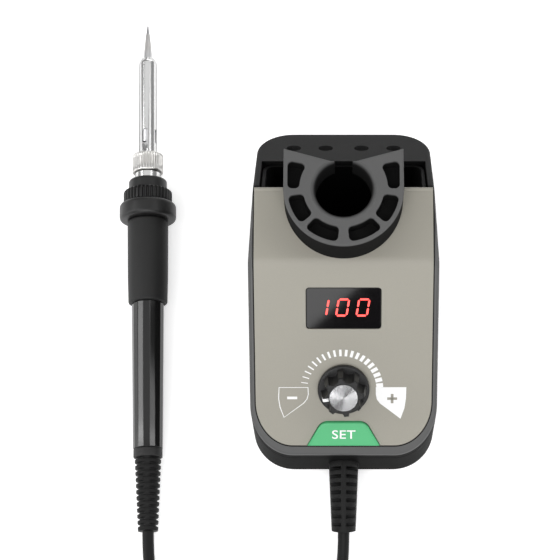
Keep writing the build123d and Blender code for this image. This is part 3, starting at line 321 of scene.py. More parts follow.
def bright_metal(name, colour, roughness, brush_stretch, brush_depth=0.004, edge=0.5):
    """Drawn or turned metal: fine marks, drawn out by the stretch, darker edges, roughness to match."""
    finish = Finish(name, Metallic=1.0, Specular_Tint=grey(edge))
    lines = finish.noise(900.0, detail=3.0, stretch=brush_stretch)
    smears = finish.noise(60.0, detail=3.0)
    finish.vary("Base Color", finish.blend(smears, tinted(colour, 0.9), tinted(colour, 1.06)))
    finish.vary("Roughness", roughness - 0.06 + 0.1 * lines + 0.06 * smears)
    finish.bump(lines, brush_depth)
    return finish.material


def plated_tip():
    """Iron-plated copper tip: bright shank, a dull heat tint towards the point, and the tinned end."""
    finish = Finish("tip_plating", Metallic=1.0, Specular_Tint=grey(0.12))
    along = finish.add("ShaderNodeSeparateXYZ", {}, finish.place(), output="Y")
    heat = (along + 0.003 * finish.noise(260.0, detail=3.0)).between(HEAT_FROM, HEAT_FULL)
    tinned = along.between(TINNED_FROM, TINNED_FULL)
    body = finish.blend(heat, (0.74, 0.74, 0.75, 1), (0.62, 0.61, 0.6, 1))
    finish.vary("Base Color", finish.blend(tinned, body, (0.6, 0.6, 0.62, 1)))
    finish.vary("Roughness", 0.34 + 0.12 * heat - 0.18 * tinned)
    finish.bump(finish.noise(1800.0, detail=2.0), 0.006)
    return finish.material


def glossy_window():
    """Smoked window over the display: near black, polished, with faint wiping marks in its gloss."""
    finish = Finish("smoked_window", Specular_IOR_Level=0.2)
    marks = finish.noise(140.0, detail=4.0, stretch=(1, 3, 3))
    finish.vary("Base Color", finish.blend(marks, (0.001, 0.001, 0.001, 1), (0.003, 0.002, 0.003, 1)))
    finish.vary("Roughness", 0.03 + 0.03 * marks)
    return finish.material


def lit_segment():
    """Red light of the display's segments, with a fine drift of tone."""
    finish = Finish("lit_segment", Emission_Strength=2.0, Roughness=0.4)
    cells = finish.noise(900.0, detail=1.0)
    finish.vary("Base Color", finish.blend(cells, (0.5, 0.02, 0.01, 1), (0.6, 0.03, 0.02, 1)))
    finish.vary("Emission Color", finish.blend(cells, (0.9, 0.05, 0.045, 1), (1.0, 0.1, 0.09, 1)))
    return finish.material


def printed_ink(name, colour):
    """Screen-printed ink: nearly even, with the fine break-up of the mesh."""
    finish = Finish(name, Specular_IOR_Level=0.4)
    screen = finish.noise(3800.0, detail=1.0)
    finish.vary("Base Color", finish.blend(screen, tinted(colour, 0.96), tinted(colour, 1.02)))
    finish.vary("Roughness", 0.5 + 0.08 * screen)
    finish.bump(screen, 0.006)
    return finish.material


def circuit_board():
    """Green solder mask over copper tracks."""
    finish = Finish("solder_mask", Specular_IOR_Level=0.5)
    tracks = finish.add("ShaderNodeTexBrick", {}, finish.place(), Scale=180.0, output="Fac")
    finish.vary("Base Color", finish.blend(tracks, (0.012, 0.09, 0.03, 1), (0.03, 0.17, 0.06, 1)))
    finish.vary("Roughness", 0.3 + 0.15 * finish.noise(300.0))
    return finish.material


FINISHES = {
    # shell with painted light: a lit tone on the rim's top, painted shadow in the seam and down the walls
    "top_shell": lit_and_shaded_plastic("shell_black_lit_and_shaded", dull=0.010, bright=0.092, share=rim_painted_light, gloss=0.4),
    "case": moulded("case_black", grey(0.009), roughness=0.42, spec=0.004),
    "base": moulded("base_black", grey(0.012), roughness=0.6, spec=0.3),
    "rubber": moulded("foot_rubber", grey(0.010), roughness=0.8, spec=0.25),
    "screw_steel": bright_metal("zinc_steel", (0.56, 0.57, 0.58, 1),
                                roughness=0.34, brush_stretch=(1, 1, 1)),
    "well": moulded("well_black", grey(0.004), roughness=0.7, spec=0.12),
    "panel": painted_panel(),
    "window": glossy_window(),
    "display": moulded("display_body", grey(0.02), roughness=0.5),
    "board": circuit_board(),
    "pot_metal": bright_metal("control_metal", (0.55, 0.55, 0.56, 1),
                              roughness=0.35, brush_stretch=(1, 1, 1)),
    "knob_black": moulded("knob_black", grey(0.010),
                          roughness=0.36, grain_mm=0.25, depth_mm=0.01, spec=0.3),
    "pointer_white": printed_ink("pointer_white", grey(0.78)),
    "cap_metal": bright_metal("spun_aluminium", (0.275, 0.275, 0.28, 1),
                              roughness=0.19, brush_stretch=(1, 1, 1), brush_depth=0.001),
    "button_green": moulded("button_green", (0.062, 0.385, 0.155, 1),
                            roughness=0.38, grain_mm=0.3, depth_mm=0.008, mottle=0.04),
    "switch_black": moulded("switch_black", grey(0.02), roughness=0.5),
    # holder with painted light: a lit tone on its top face, painted shade down its walls and in its pockets
    "holder_grey": lit_and_shaded_plastic("holder_grey",
                            dull=0.011, bright=0.1, share=holder_painted_light, gloss=0.1, roughness=0.55),
    "core_steel": bright_metal("laminations", (0.25, 0.25, 0.26, 1),
                               roughness=0.45, brush_stretch=(1, 40, 1)),
    "coil_tape": moulded("coil_tape", (0.6, 0.43, 0.08, 1), roughness=0.4),
    "inlet_black": moulded("inlet_black", grey(0.018), roughness=0.5),
    "pin_brass": bright_metal("pin_brass", (0.8, 0.62, 0.28, 1), roughness=0.25, brush_stretch=(1, 40, 1)),
    "rocker_black": moulded("rocker_black", grey(0.018), roughness=0.3, grain_mm=0.25, depth_mm=0.006),
    "relief_black": moulded("relief_black", grey(0.010),
                            roughness=0.5, grain_mm=0.3, depth_mm=0.015, spec=0.12),
    "cord_black": moulded("cord_black", grey(0.009),
                          roughness=0.45, grain_mm=0.25, depth_mm=0.012, spec=0.12),
    "tie_black": moulded("tie_black", grey(0.012), roughness=0.5, spec=0.4),
    "handle_gloss": moulded("handle_gloss", grey(0.008),
                            roughness=0.16, grain_mm=0.6, depth_mm=0.004, spec=0.5),
    "ring_matte": moulded("ring_matte", grey(0.012), roughness=0.55, spec=0.35),
    "grip_soft": moulded("grip_soft", grey(0.010), roughness=0.6, grain_mm=0.45, depth_mm=0.03, spec=0.35),
    "guard_black": moulded("guard_black", grey(0.009), roughness=0.42, spec=0.4),
    "socket_metal": bright_metal("socket_metal", (0.74, 0.74, 0.73, 1),
                                 roughness=0.2, brush_stretch=(40, 1, 40), edge=0.2),
    "ceramic": moulded("ceramic", grey(0.8), roughness=0.5),
    "nut_metal": bright_metal("nut_metal", (0.74, 0.73, 0.71, 1),
                              roughness=0.28, brush_stretch=(1, 20, 1), edge=0.2),
    "barrel_steel": bright_metal("barrel_steel", (0.77, 0.77, 0.77, 1),
                                 roughness=0.22, brush_stretch=(30, 1, 30), brush_depth=0.0005, edge=0.1),
    "tip_plated": plated_tip(),
}


# Meshes
def add_piece(name, mesh, body, slot, replaced=()):
    """Puts a mesh into the scene with the finish of a slot, on a body if one is given."""
    piece = bpy.data.objects.new(name, mesh)
    bpy.context.scene.collection.objects.link(piece)
    piece.data.materials.clear()
    piece.data.materials.append(FINISHES[slot])
    if body:
        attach(piece, body)
    if replaced:
        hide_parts(*replaced)
    return piece


def shade_by_angle(mesh, degrees):
    """Smooth faces, with sharp edges where two faces meet at more than an angle."""
    mesh.polygons.foreach_set("use_smooth", np.ones(len(mesh.polygons), bool))
    mesh.set_sharp_from_angle(angle=radians(degrees))


def grid_faces(rows, columns, wrap_rows, wrap_columns):
    """Quads between neighbouring points of a grid counted row by row."""
    row = np.arange(rows if wrap_rows else rows - 1)[:, None]
    column = np.arange(columns if wrap_columns else columns - 1)[None, :]
    after, beside = (row + 1) % rows, (column + 1) % columns
    here, there = row * columns, after * columns
    corners = (here + column, here + beside, there + beside, there + column)
    return np.stack(np.broadcast_arrays(*corners), -1).reshape(-1, 4)


def mesh_of(name, points_mm, faces, angle=SMOOTH_ANGLE):
    """Mesh from points in millimetres; doubled points at poles are joined and the faces turned outwards."""
    mesh = bpy.data.meshes.new(name)
    mesh.from_pydata((np.reshape(points_mm, (-1, 3)) * MM).tolist(), [], np.asarray(faces).tolist())
    work = bmesh.new()
    work.from_mesh(mesh)
    bmesh.ops.remove_doubles(work, verts=work.verts, dist=POLE_GAP)
    bmesh.ops.dissolve_degenerate(work, edges=work.edges, dist=SLIVER)
    bmesh.ops.recalc_face_normals(work, faces=work.faces)
    work.to_mesh(mesh)
    work.free()
    shade_by_angle(mesh, angle)
    return mesh


def softened(node, width_mm):
    """Copy of a solid with its facets joined, its edges rounded off and its curves shaded smooth."""
    mesh = nodes[node].data.copy()
    work = bmesh.new()
    work.from_mesh(mesh)
    bmesh.ops.remove_doubles(work, verts=work.verts, dist=FACET_GAP)
    bmesh.ops.dissolve_limit(work, angle_limit=radians(FACET_ANGLE), verts=work.verts, edges=work.edges)
    work.to_mesh(mesh)
    work.free()
    shade_by_angle(mesh, EDGE_ANGLE)
    piece = add_piece(node + "_soft", mesh, bodies_of[node], slots_of[node], [node])
    if width_mm:
        bevel = piece.modifiers.new("edge", "BEVEL")
        bevel.width = width_mm * MM
        bevel.segments = EDGE_SEGMENTS
        bevel.limit_method = "ANGLE"
        bevel.angle_limit = radians(EDGE_ANGLE)
        bevel.use_clamp_overlap = False
    normals = piece.modifiers.new("normals", "WEIGHTED_NORMAL")
    normals.keep_sharp = True
    return piece


def rounded_line(points, radius, steps=CORNER_STEPS):
    """Open line through (radius, distance) points whose inner corners are rounded by parabolas."""
    points = np.asarray(points, float)
    t = np.linspace(0, 1, steps)[:, None]
    line = [points[:1]]
    for before, corner, after in zip(points, points[1:], points[2:]):
        reach = min(radius, np.linalg.norm(before - corner) / 2, np.linalg.norm(after - corner) / 2)
        start = corner + (before - corner) / np.linalg.norm(before - corner) * reach
        end = corner + (after - corner) / np.linalg.norm(after - corner) * reach
        line.append((1 - t) ** 2 * start + 2 * t * (1 - t) * corner + t ** 2 * end)
    line.append(points[-1:])
    return np.concatenate(line)


def on_iron(radius, along, turn):
    """Points round the iron's axis: radius, distance from the cord end, turn from the right over the top."""
    out = np.cos(turn)[..., None] * IRON_SIDE + np.sin(turn)[..., None] * IRON_TOP
    return IRON_END + np.asarray(along)[..., None] * IRON_AXIS + np.asarray(radius)[..., None] * out


def turned(name, line, body, slot, replaced, steps=TURN_STEPS, shape=None, closed=False,
           angle=SMOOTH_ANGLE):
    """Line of (radius, distance) spun round the iron's axis; shape may change the radius as it goes."""
    line = np.asarray(line, float)
    turn = np.arange(steps) / steps * 2 * pi
    radius = np.repeat(line[:, :1], steps, 1)
    along = np.repeat(line[:, 1:], steps, 1)
    if shape is not None:
        radius = shape(radius, along, turn[None, :])
    points = on_iron(radius, along, np.broadcast_to(turn, radius.shape))
    mesh = mesh_of(name, points, grid_faces(len(line), steps, closed, True), angle)
    return add_piece(name, mesh, body, slot, replaced)


def on_panel(across, down, out=0.0):
    """Points on the panel, in millimetres."""
    across, down, out = np.broadcast_arrays(np.asarray(across, float), down, out)
    return BEND + across[..., None] * ACROSS + down[..., None] * DOWNHILL + out[..., None] * OUTWARD


def plate(name, outlines, low, high, body, slot):
    """Flat marks on the panel: each outline of (across, down) becomes a thin slab from low to high."""
    points, faces, count = [], [], 0
    for outline in outlines:
        outline = np.asarray(outline, float)
        size = len(outline)
        points += [on_panel(*outline.T, low), on_panel(*outline.T, high)]
        ring = count + np.arange(size)
        beside = count + (np.arange(size) + 1) % size
        faces += [ring[::-1].tolist(), (ring + size).tolist()]
        faces += np.stack([ring, beside, beside + size, ring + size], -1).tolist()
        count += 2 * size
    mesh = bpy.data.meshes.new(name)
    mesh.from_pydata((np.concatenate(points) * MM).tolist(), [], faces)
    work = bmesh.new()
    work.from_mesh(mesh)
    bmesh.ops.recalc_face_normals(work, faces=work.faces)
    work.to_mesh(mesh)
    work.free()
    return add_piece(name, mesh, body, slot)


# Printed marks
TICKS = 20
TICK_FROM = radians(171)
TICK_TO = radians(5)
TICK_MIDDLE = -0.7
TICK_IN = 14.4
TICK_OUT = 17.3
TICK_THIN = 0.32
TICK_THICK = 1.8
MINUS_EDGE = ((-27.2, 55.0), (-14.8, 55.0), (-14.65, 58.2), (-15.25, 60.4), (-16.7, 62.3), (-25.2, 68.8),
              (-26.9, 64.1), (-27.5, 60.0))
PLUS_EDGE = ((13.5, 55.0), (26.3, 55.0), (26.2, 60.0), (25.6, 64.4), (24.0, 69.2), (15.3, 62.3),
             (14.0, 60.5), (13.55, 58.3))
EDGE_W = 0.36
MINUS_AT = (-21.6, 59.8)
PLUS_AT = (20.4, 60.1)
SIGN_L = 4.2
SIGN_W = 1.15


def bar(at, length, width):
    """Rectangle lying across the panel."""
    x, y = at
    half, low = length / 2, width / 2
    return [(x - half, y - low), (x + half, y - low), (x + half, y + low), (x - half, y + low)]


def make_marks():
    """Scale of ticks that widen steadily round the knob, an outlined minus field and a filled plus field."""
    share = np.linspace(0, 1, TICKS)
    turn = TICK_FROM + (TICK_TO - TICK_FROM) * share
    width = TICK_THIN + (TICK_THICK - TICK_THIN) * share
    pivot = np.array((TICK_MIDDLE, KNOB_DOWN))
    ticks = []
    for angle, wide in zip(turn, width):
        out = np.array((cos(angle), -sin(angle)))
        side = np.array((sin(angle), cos(angle))) * wide / 2
        near, far = out * TICK_IN, out * TICK_OUT
        ticks.append(pivot + [near - side, far - side, far + side, near + side])
    plate("tick_scale", ticks, -PRINT_SINK, PRINT_T, "station", "pointer_white")
    edge = np.array(MINUS_EDGE)
    middle = edge.mean(0)
    inner = middle + (edge - middle) * (1 - EDGE_W / np.linalg.norm(edge - middle, axis=1)[:, None])
    after = np.arange(1, len(edge) + 1) % len(edge)
    strips = [(edge[i], edge[j], inner[j], inner[i]) for i, j in enumerate(after)]
    minus = [*strips, bar(MINUS_AT, SIGN_L, SIGN_W)]
    plate("minus_mark", minus, -PRINT_SINK, PRINT_T, "station", "pointer_white")
    plate("plus_field", [PLUS_EDGE], -PRINT_SINK, PRINT_T, "station", "pointer_white")
    plus = [bar(PLUS_AT, SIGN_L, SIGN_W), bar(PLUS_AT, SIGN_W, SIGN_L)]
    plate("plus_sign", plus, PRINT_T / 2, 1.5 * PRINT_T, "station", "panel")


# Display
WINDOW_SET_BACK = 0.3
DIGIT_PROUD = 0.03
DIGIT_H = 7.1
DIGIT_W = 4.3
DIGIT_PITCH = 8.43
DIGIT_MIDDLE = (-0.4, 19.75)
SEGMENT_W = 0.82
SEGMENT_GAP = 0.2
DIGIT_SLANT = tan(radians(9))
SEGMENT_ENDS = {"a": ((0, 0), (1, 0)), "b": ((1, 0), (1, 1)), "c": ((1, 1), (1, 2)), "d": ((0, 2), (1, 2)),
                "e": ((0, 1), (0, 2)), "f": ((0, 0), (0, 1)), "g": ((0, 1), (1, 1))}
DIGIT_SEGMENTS = {"0": "abcdef", "1": "bc"}
READING = "100"


def segment(start, end):
    """Six-sided bar between two corners of a digit."""
    start, end = np.asarray(start, float), np.asarray(end, float)
    ahead = (end - start) / np.linalg.norm(end - start)
    side = np.array((-ahead[1], ahead[0])) * SEGMENT_W / 2
    start, end = start + ahead * SEGMENT_GAP, end - ahead * SEGMENT_GAP
    tip = ahead * SEGMENT_W / 2
    return np.array([start, start + tip + side, end - tip + side, end, end - tip - side, start + tip - side])


def make_digits():
    """The reading as slanted seven-segment digits, set on the window's face and lit red."""
    outlines = []
    for place, digit in enumerate(READING):
        left = DIGIT_MIDDLE[0] + (place - (len(READING) - 1) / 2) * DIGIT_PITCH - DIGIT_W / 2
        top = DIGIT_MIDDLE[1] - DIGIT_H / 2
        for name in DIGIT_SEGMENTS[digit]:
            ends = [(left + x * DIGIT_W, top + y * DIGIT_H / 2) for x, y in SEGMENT_ENDS[name]]
            outline = segment(*ends)
            outline[:, 0] += (DIGIT_MIDDLE[1] - outline[:, 1]) * DIGIT_SLANT
            outlines.append(outline)
    low, high = -WINDOW_SET_BACK - PRINT_SINK, -WINDOW_SET_BACK + DIGIT_PROUD
    piece = plate("lit_digits", outlines, low, high, "station", "display")
    piece.data.materials[0] = lit_segment()


# Button lettering
BUTTON_PROUD = 1.5
LETTERS_MIDDLE = 76.05
LETTERS_H = 3.95
LETTERS_STRETCH = 1.134
LETTERS_BOLD = 0.045
LETTERS_SPACE = 1.06
CAPITAL_SHARE = 0.72


def make_letters():
    """The word on the button: an outline font made a mesh, then laid on the button's face."""
    curve = bpy.data.curves.new("set_letters", "FONT")
    curve.body = "SET"
    curve.align_x = "CENTER"
    curve.align_y = "CENTER"
    curve.size = LETTERS_H / CAPITAL_SHARE
    curve.offset = LETTERS_BOLD
    curve.extrude = PRINT_T
    curve.space_character = LETTERS_SPACE
    text = bpy.data.objects.new("set_letters", curve)
    bpy.context.scene.collection.objects.link(text)
    bpy.context.view_layer.update()
    mesh = bpy.data.meshes.new_from_object(text)
    bpy.data.objects.remove(text)
    right, up, out = points_of(mesh).T
    placed = on_panel(right * LETTERS_STRETCH, LETTERS_MIDDLE - up, BUTTON_PROUD + out) * MM
    mesh.vertices.foreach_set("co", placed.ravel())
    mesh.update()
    add_piece("set_letters", mesh, "set_button", "pointer_white")


# Knob
KNOB_TOP = 11.0
CAP_R = 5.95
CAP_RISE = 0.25
CAP_GROOVES = 22
GROOVE_DEPTH = 0.018
GROOVE_ROWS = 6
CAP_DOME = 0.12
CAP_CHAMFER = 0.12
CAP_SKIRT = 0.75
CAP_STEPS = 120


def round_knob(radius, turn, height):
    """Points round the knob's axis, above the panel."""
    return on_panel(radius * np.cos(turn), KNOB_DOWN - radius * np.sin(turn), height)


def make_cap():
    """Spun disc: fine rings turned into a slightly domed face, closed below by a plain rim."""
    share = np.linspace(0, 1, CAP_GROOVES * GROOVE_ROWS + 1)
    groove = GROOVE_DEPTH * (0.5 - 0.5 * np.cos(share * CAP_GROOVES * 2 * pi))
    face = KNOB_TOP + CAP_RISE - CAP_DOME * share ** 2 - groove
    radius = np.concatenate([share * (CAP_R - CAP_CHAMFER), [CAP_R, CAP_R, 0.0]])
    height = np.concatenate([face, [KNOB_TOP, KNOB_TOP - CAP_SKIRT, KNOB_TOP - CAP_SKIRT]])
    turn = np.arange(CAP_STEPS) / CAP_STEPS * 2 * pi
    points = round_knob(radius[:, None], turn[None, :], height[:, None])
    mesh = mesh_of("spun_cap", points, grid_faces(len(radius), CAP_STEPS, False, True), ROUND_ANGLE)
    add_piece("spun_cap", mesh, "knob", "cap_metal", ["knob_cap"])


# Cord
CORD_D = 5.0
CORD_STEPS = 20
CORD_RESOLUTION = 5
COIL_MIDDLE = (-43.0, -160.0)
COIL_TURNS = 3
CLIMB_TURNS = 0.5
COIL_PITCH = 5.7
COIL_R_OUT = 36.0
COIL_Z = 3.5
COIL_LAYER = 5.5
COIL_DIP = 1.4
COIL_DOTS = 14
RELIEF_ROOT = np.array((0.0, -71.5, 12.2))
RELIEF_L = 29.0
RELIEF_DROOP = radians(21)
RELIEF_LEAD = 12.4
LEAVE_BEND = (-2.6, -127.0, 2.55)
LEAVE_LEADS = (18.0, 5.0)
ARRIVE_LEADS = (5.0, 17.0)
ARRIVE_BEND = (-80.4, -129.0, 4.4)
IRON_LEAD = 13.0
IRON_SEAT = 0.3
TIE_EDGE = 0.2


def relief_frame(along):
    """Middle and heading of the drooping relief at distances from the case."""
    radius = RELIEF_L / RELIEF_DROOP
    turn = np.asarray(along, float) / radius
    zero = np.zeros_like(turn)
    middle = RELIEF_ROOT + np.stack([zero, -radius * np.sin(turn), -radius * (1 - np.cos(turn))], -1)
    return middle, np.stack([zero, -np.cos(turn), -np.sin(turn)], -1)


def coil_points():
    """Turns of the coil: steadily in on the floor, half a turn to climb, and steadily out above."""
    whole = 2 * COIL_TURNS + CLIMB_TURNS
    turn = np.linspace(0, whole, int(whole * COIL_DOTS) + 1)
    inwards = np.minimum(turn, COIL_TURNS) - np.maximum(turn - COIL_TURNS - CLIMB_TURNS, 0)
    climb = np.clip((turn - COIL_TURNS) / CLIMB_TURNS, 0, 1)
    radius = COIL_R_OUT - COIL_PITCH * inwards - COIL_DIP * np.sin(pi * climb) ** 2
    angle = -2 * pi * turn
    return np.stack([COIL_MIDDLE[0] + radius * np.cos(angle), COIL_MIDDLE[1] + radius * np.sin(angle),
                     COIL_Z + COIL_LAYER * climb ** 2 * (3 - 2 * climb)], -1)


def cord_route():
    """Control points of the whole cord, from the case's relief through the coil to the iron's relief."""
    (end,), (heading,) = relief_frame([RELIEF_L])
    coil = coil_points()
    meet = IRON_END - IRON_AXIS * IRON_SEAT
    onto_coil = [coil[0] + (0, lead, 0) for lead in LEAVE_LEADS]
    off_coil = [coil[-1] + (0, lead, 0) for lead in ARRIVE_LEADS]
    leave = [end, end + heading * RELIEF_LEAD, LEAVE_BEND, *onto_coil]
    arrive = [*off_coil, ARRIVE_BEND, meet - IRON_AXIS * IRON_LEAD, meet]
    return np.concatenate([leave, coil, arrive])


def smooth_line(points_mm, resolution):
    """Points along a quadratic NURBS spline with the given control points."""
    curve = bpy.data.curves.new("route", "CURVE")
    curve.dimensions = "3D"
    curve.resolution_u = resolution
    spline = curve.splines.new("NURBS")
    spline.points.add(len(points_mm) - 1)
    spline.points.foreach_set("co", np.column_stack([points_mm * MM, np.ones(len(points_mm))]).ravel())
    spline.order_u = 3
    spline.use_endpoint_u = True
    holder = bpy.data.objects.new("route", curve)
    bpy.context.scene.collection.objects.link(holder)
    bpy.context.view_layer.update()
    line = points_of(bpy.data.meshes.new_from_object(holder)) / MM
    bpy.data.objects.remove(holder)
    return line


def tube_points(line, radius, steps):
    """Circles square to a line; their side direction is level, as the line never stands upright."""
    heading = np.gradient(line, axis=0)
    heading /= np.linalg.norm(heading, axis=1)[:, None]
    side = np.cross(heading, (0.0, 0.0, 1.0))
    side /= np.linalg.norm(side, axis=1)[:, None]
    top = np.cross(side, heading)
    turn = np.arange(steps) / steps * 2 * pi
    return line[:, None] + radius * (np.cos(turn)[None, :, None] * side[:, None]
                                     + np.sin(turn)[None, :, None] * top[:, None])


def make_cord():
    """Round cord along its route, closed at both ends, with the coil's tie; it joins station and iron."""
    line = smooth_line(cord_route(), CORD_RESOLUTION)
    circles = tube_points(line, CORD_D / 2, CORD_STEPS)
    ends = np.repeat(line[[0, -1], None], CORD_STEPS, 1)
    circles = np.concatenate([ends[:1], circles, ends[1:]])
    mesh = mesh_of("cord", circles, grid_faces(len(circles), CORD_STEPS, False, True), ROUND_ANGLE)
    cord = add_piece("cord", mesh, None, "cord_black", ["cord_coil", "cord_station_run", "cord_iron_run"])
    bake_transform(cord)
    tie = softened("cord_tie", TIE_EDGE)


# Iron: distances from the cord end
BELLOWS_L = 32.0
RING_AT = 32.0
HANDLE_AT = 36.0
GRIP_AT = 102.0
GUARD_AT = 141.0
RIBS_AT = 149.0
NOSE_AT = 155.0
SOCKET_AT = 160.5
NUT_AT = 163.8
BARREL_AT = 172.8

# Iron: ribbed relief
BELLOWS_RIBS = 12
BELLOWS_ROWS = 12
BELLOWS_STEPS = 64
BELLOWS_R = (4.375, 5.8)
GROOVE_DEEP = 0.95
RIB_SHARE = 0.72
RIB_FULL = 1.35
SPINE_FROM = 0.93
SPINE_FADE = 0.04
SPINE_H = 0.75
END_SKIN = 0.01

# Iron: ring, handle, grip, guard and nose
CORE_R = 3.0
RING_R = 6.35
RING_EDGE = 0.5
HANDLE_R = (6.45, 7.1)
HANDLE_EDGE = 0.35
HANDLE_FLATS = 16
HANDLE_ROWS = (0.2, 0.4, 0.6, 0.8)
FLAT_STEPS = 12
FLAT_ANGLE = 14
FLATS_FROM_R = 4.0
CORNER_EASE = 0.0025
GRIP_BORE_R = 6.6
GRIP_R = (8.7, 9.0, 9.2)
GRIP_SWELL_L = 12.0
GRIP_EDGE = 2.0
GUARD_R = 12.8
GUARD_EDGE = 2.1
SOFT_STEPS = 10
RIBS_R = 11.0
NOSE_R = 8.65
NOSE_EDGE = 1.3
NOSE_CORNER_STEPS = 8
NOSE_RIBS = 36
NOSE_RIB_DEPTH = 0.8
NOSE_RIB_ENDS = (0.3, 0.2)

# Iron: nut and tip
KNURL_STEPS = 288
KNURL_CREST = 1.6
KNURL_OUTER = 0.8
NUT_GAP = 0.3
NUT_BORE_R = 5.5
NUT_R = 6.95
NUT_LIP_R = 4.4
NUT_LIP = 1.2
NUT_EDGE = 0.5
NUT_RIBS = 32
NUT_RIB_DEPTH = 0.55
NUT_RIB_ENDS = (1.0, 0.7)
NUT_ROWS = 6
NUT_ROW_ENDS = (1.0, 0.8)
TIP_OUTLINE = ((0, 237.7), (0.25, 237.7), (0.8, 233.3), (0.95, 233.0), (2.1, 220.8), (2.1, 218.1),
               (3.3, 218.0), (3.3, 179.0), (2.2, 179.0), (2.2, 215.1), (0, 215.1))
TIP_EDGE = 0.12


def bellows_shape(radius, along, turn):
    """Rounded ribs and narrower grooves, bridged by a low spine along the top and the bottom."""
    share = (along / BELLOWS_L * BELLOWS_RIBS) % 1
    rib = np.clip(RIB_FULL * np.sin(pi * np.clip(share / RIB_SHARE, 0, 1)) ** 0.5, 0, 1)
    spine = np.clip((np.abs(np.sin(turn)) - SPINE_FROM) / SPINE_FADE, 0, 1) * SPINE_H
    inside = (along > END_SKIN) & (along < BELLOWS_L - END_SKIN)
    depth = np.where(inside, 1 - np.maximum(rib, spine), 0)
    return np.where(radius > 0, radius - GROOVE_DEEP * depth, radius)


def handle_shape(radius, along, turn):
    """Flats: the radius to each grows as one over the cosine from its middle, with the corners eased."""
    sector = 2 * pi / HANDLE_FLATS
    off = (turn + sector / 2) % sector - sector / 2
    flat = np.minimum(1 / np.cos(off), 1 / cos(sector / 2) - CORNER_EASE)
    body = (along >= HANDLE_AT) & (along <= GRIP_AT) & (radius > FLATS_FROM_R)
    return np.where(body, radius * flat, radius)


def knurl(count, depth, low, high):
    """Straight ribs: the outer radius dips count times round, between two distances."""
    def shape(radius, along, turn):
        dip = depth * np.clip(np.cos(count * turn) * KNURL_CREST, -1, 1) * 0.5 - depth * 0.5
        inside = (along > low) & (along < high)
        return np.where(inside & (radius > radius.max() * KNURL_OUTER), radius + dip, radius)
    return shape


def make_bellows():
    """Ribbed relief that tapers towards the cord."""
    rows = np.linspace(0, BELLOWS_L, BELLOWS_RIBS * BELLOWS_ROWS + 1)
    taper = BELLOWS_R[0] + (BELLOWS_R[1] - BELLOWS_R[0]) * rows / BELLOWS_L
    line = np.concatenate([[(0, 0)], np.stack([taper, rows], -1), [(0, BELLOWS_L)]])
    turned("iron_bellows", line, "iron", "relief_black", ["iron_strain_relief"], BELLOWS_STEPS,
           bellows_shape, angle=ROUND_ANGLE)


def make_handle():
    """Plain end ring, then the widening handle, with rows between its ends that carry the flats."""
    ring = [(CORE_R, RING_AT), (RING_R, RING_AT), (RING_R, HANDLE_AT), (CORE_R, HANDLE_AT)]
    turned("iron_end_ring", rounded_line(ring, RING_EDGE), "iron", "ring_matte", ["handle_end_ring"],
           closed=True)
    first, last = np.array((HANDLE_R[0], HANDLE_AT)), np.array((HANDLE_R[1], GRIP_AT))
    line = rounded_line([(CORE_R, HANDLE_AT), first, last, (CORE_R, GRIP_AT)], HANDLE_EDGE)
    middle = [first + (last - first) * share for share in HANDLE_ROWS]
    half = len(line) // 2
    line = np.concatenate([line[:half], middle, line[half:]])
    turned("iron_handle", line, "iron", "handle_gloss", ["handle"], HANDLE_FLATS * FLAT_STEPS, handle_shape,
           closed=True, angle=FLAT_ANGLE)


def make_grip():
    """Soft grip that swells towards the wider guard."""
    grip = [(GRIP_BORE_R, GRIP_AT), (GRIP_R[0], GRIP_AT), (GRIP_R[1], GRIP_AT + GRIP_SWELL_L),
            (GRIP_R[2], GUARD_AT), (GRIP_BORE_R, GUARD_AT)]
    turned("iron_grip", rounded_line(grip, GRIP_EDGE, SOFT_STEPS), "iron", "grip_soft", ["grip"],
           closed=True)
    guard = [(GRIP_BORE_R, GUARD_AT), (GUARD_R, GUARD_AT), (GUARD_R, RIBS_AT), (GRIP_BORE_R, RIBS_AT)]
    turned("iron_guard", rounded_line(guard, GUARD_EDGE, SOFT_STEPS), "iron", "guard_black",
           ["finger_guard"], closed=True)


def make_nose():
    """Ribbed collar and the plain step in front of it."""
    nose = [(CORE_R, RIBS_AT), (RIBS_R, RIBS_AT), (RIBS_R, NOSE_AT), (NOSE_R, NOSE_AT), (NOSE_R, SOCKET_AT),
            (CORE_R, SOCKET_AT)]
    ribs = knurl(NOSE_RIBS, NOSE_RIB_DEPTH, RIBS_AT + NOSE_RIB_ENDS[0], NOSE_AT - NOSE_RIB_ENDS[1])
    turned("iron_nose", rounded_line(nose, NOSE_EDGE, NOSE_CORNER_STEPS), "iron", "guard_black",
           ["nose_collar"], KNURL_STEPS, ribs, closed=True)


def make_nut():
    """Knurled nut with a lip over the sleeve; rows after its first corner carry the knurl."""
    start, lip = NUT_AT + NUT_GAP, BARREL_AT - NUT_LIP
    line = rounded_line([(NUT_BORE_R, start), (NUT_R, start), (NUT_R, BARREL_AT), (NUT_LIP_R, BARREL_AT),
                         (NUT_LIP_R, lip), (NUT_BORE_R, lip)], NUT_EDGE)
    along = np.linspace(NUT_AT + NUT_ROW_ENDS[0], BARREL_AT - NUT_ROW_ENDS[1], NUT_ROWS)
    rows = np.stack([np.full(NUT_ROWS, NUT_R), along], -1)
    corner = 1 + CORNER_STEPS
    line = np.concatenate([line[:corner], rows, line[corner:]])
    ribs = knurl(NUT_RIBS, NUT_RIB_DEPTH, NUT_AT + NUT_RIB_ENDS[0], BARREL_AT - NUT_RIB_ENDS[1])
    turned("iron_nut", line, "nut", "nut_metal", ["sleeve_nut"], KNURL_STEPS, ribs, closed=True,
           angle=ROUND_ANGLE)


def make_tip():
    """Tip in the sleeve: hollow shank, cone and working end."""
    turned("iron_tip", rounded_line(TIP_OUTLINE, TIP_EDGE), "sleeve", "tip_plated", ["soldering_tip"])


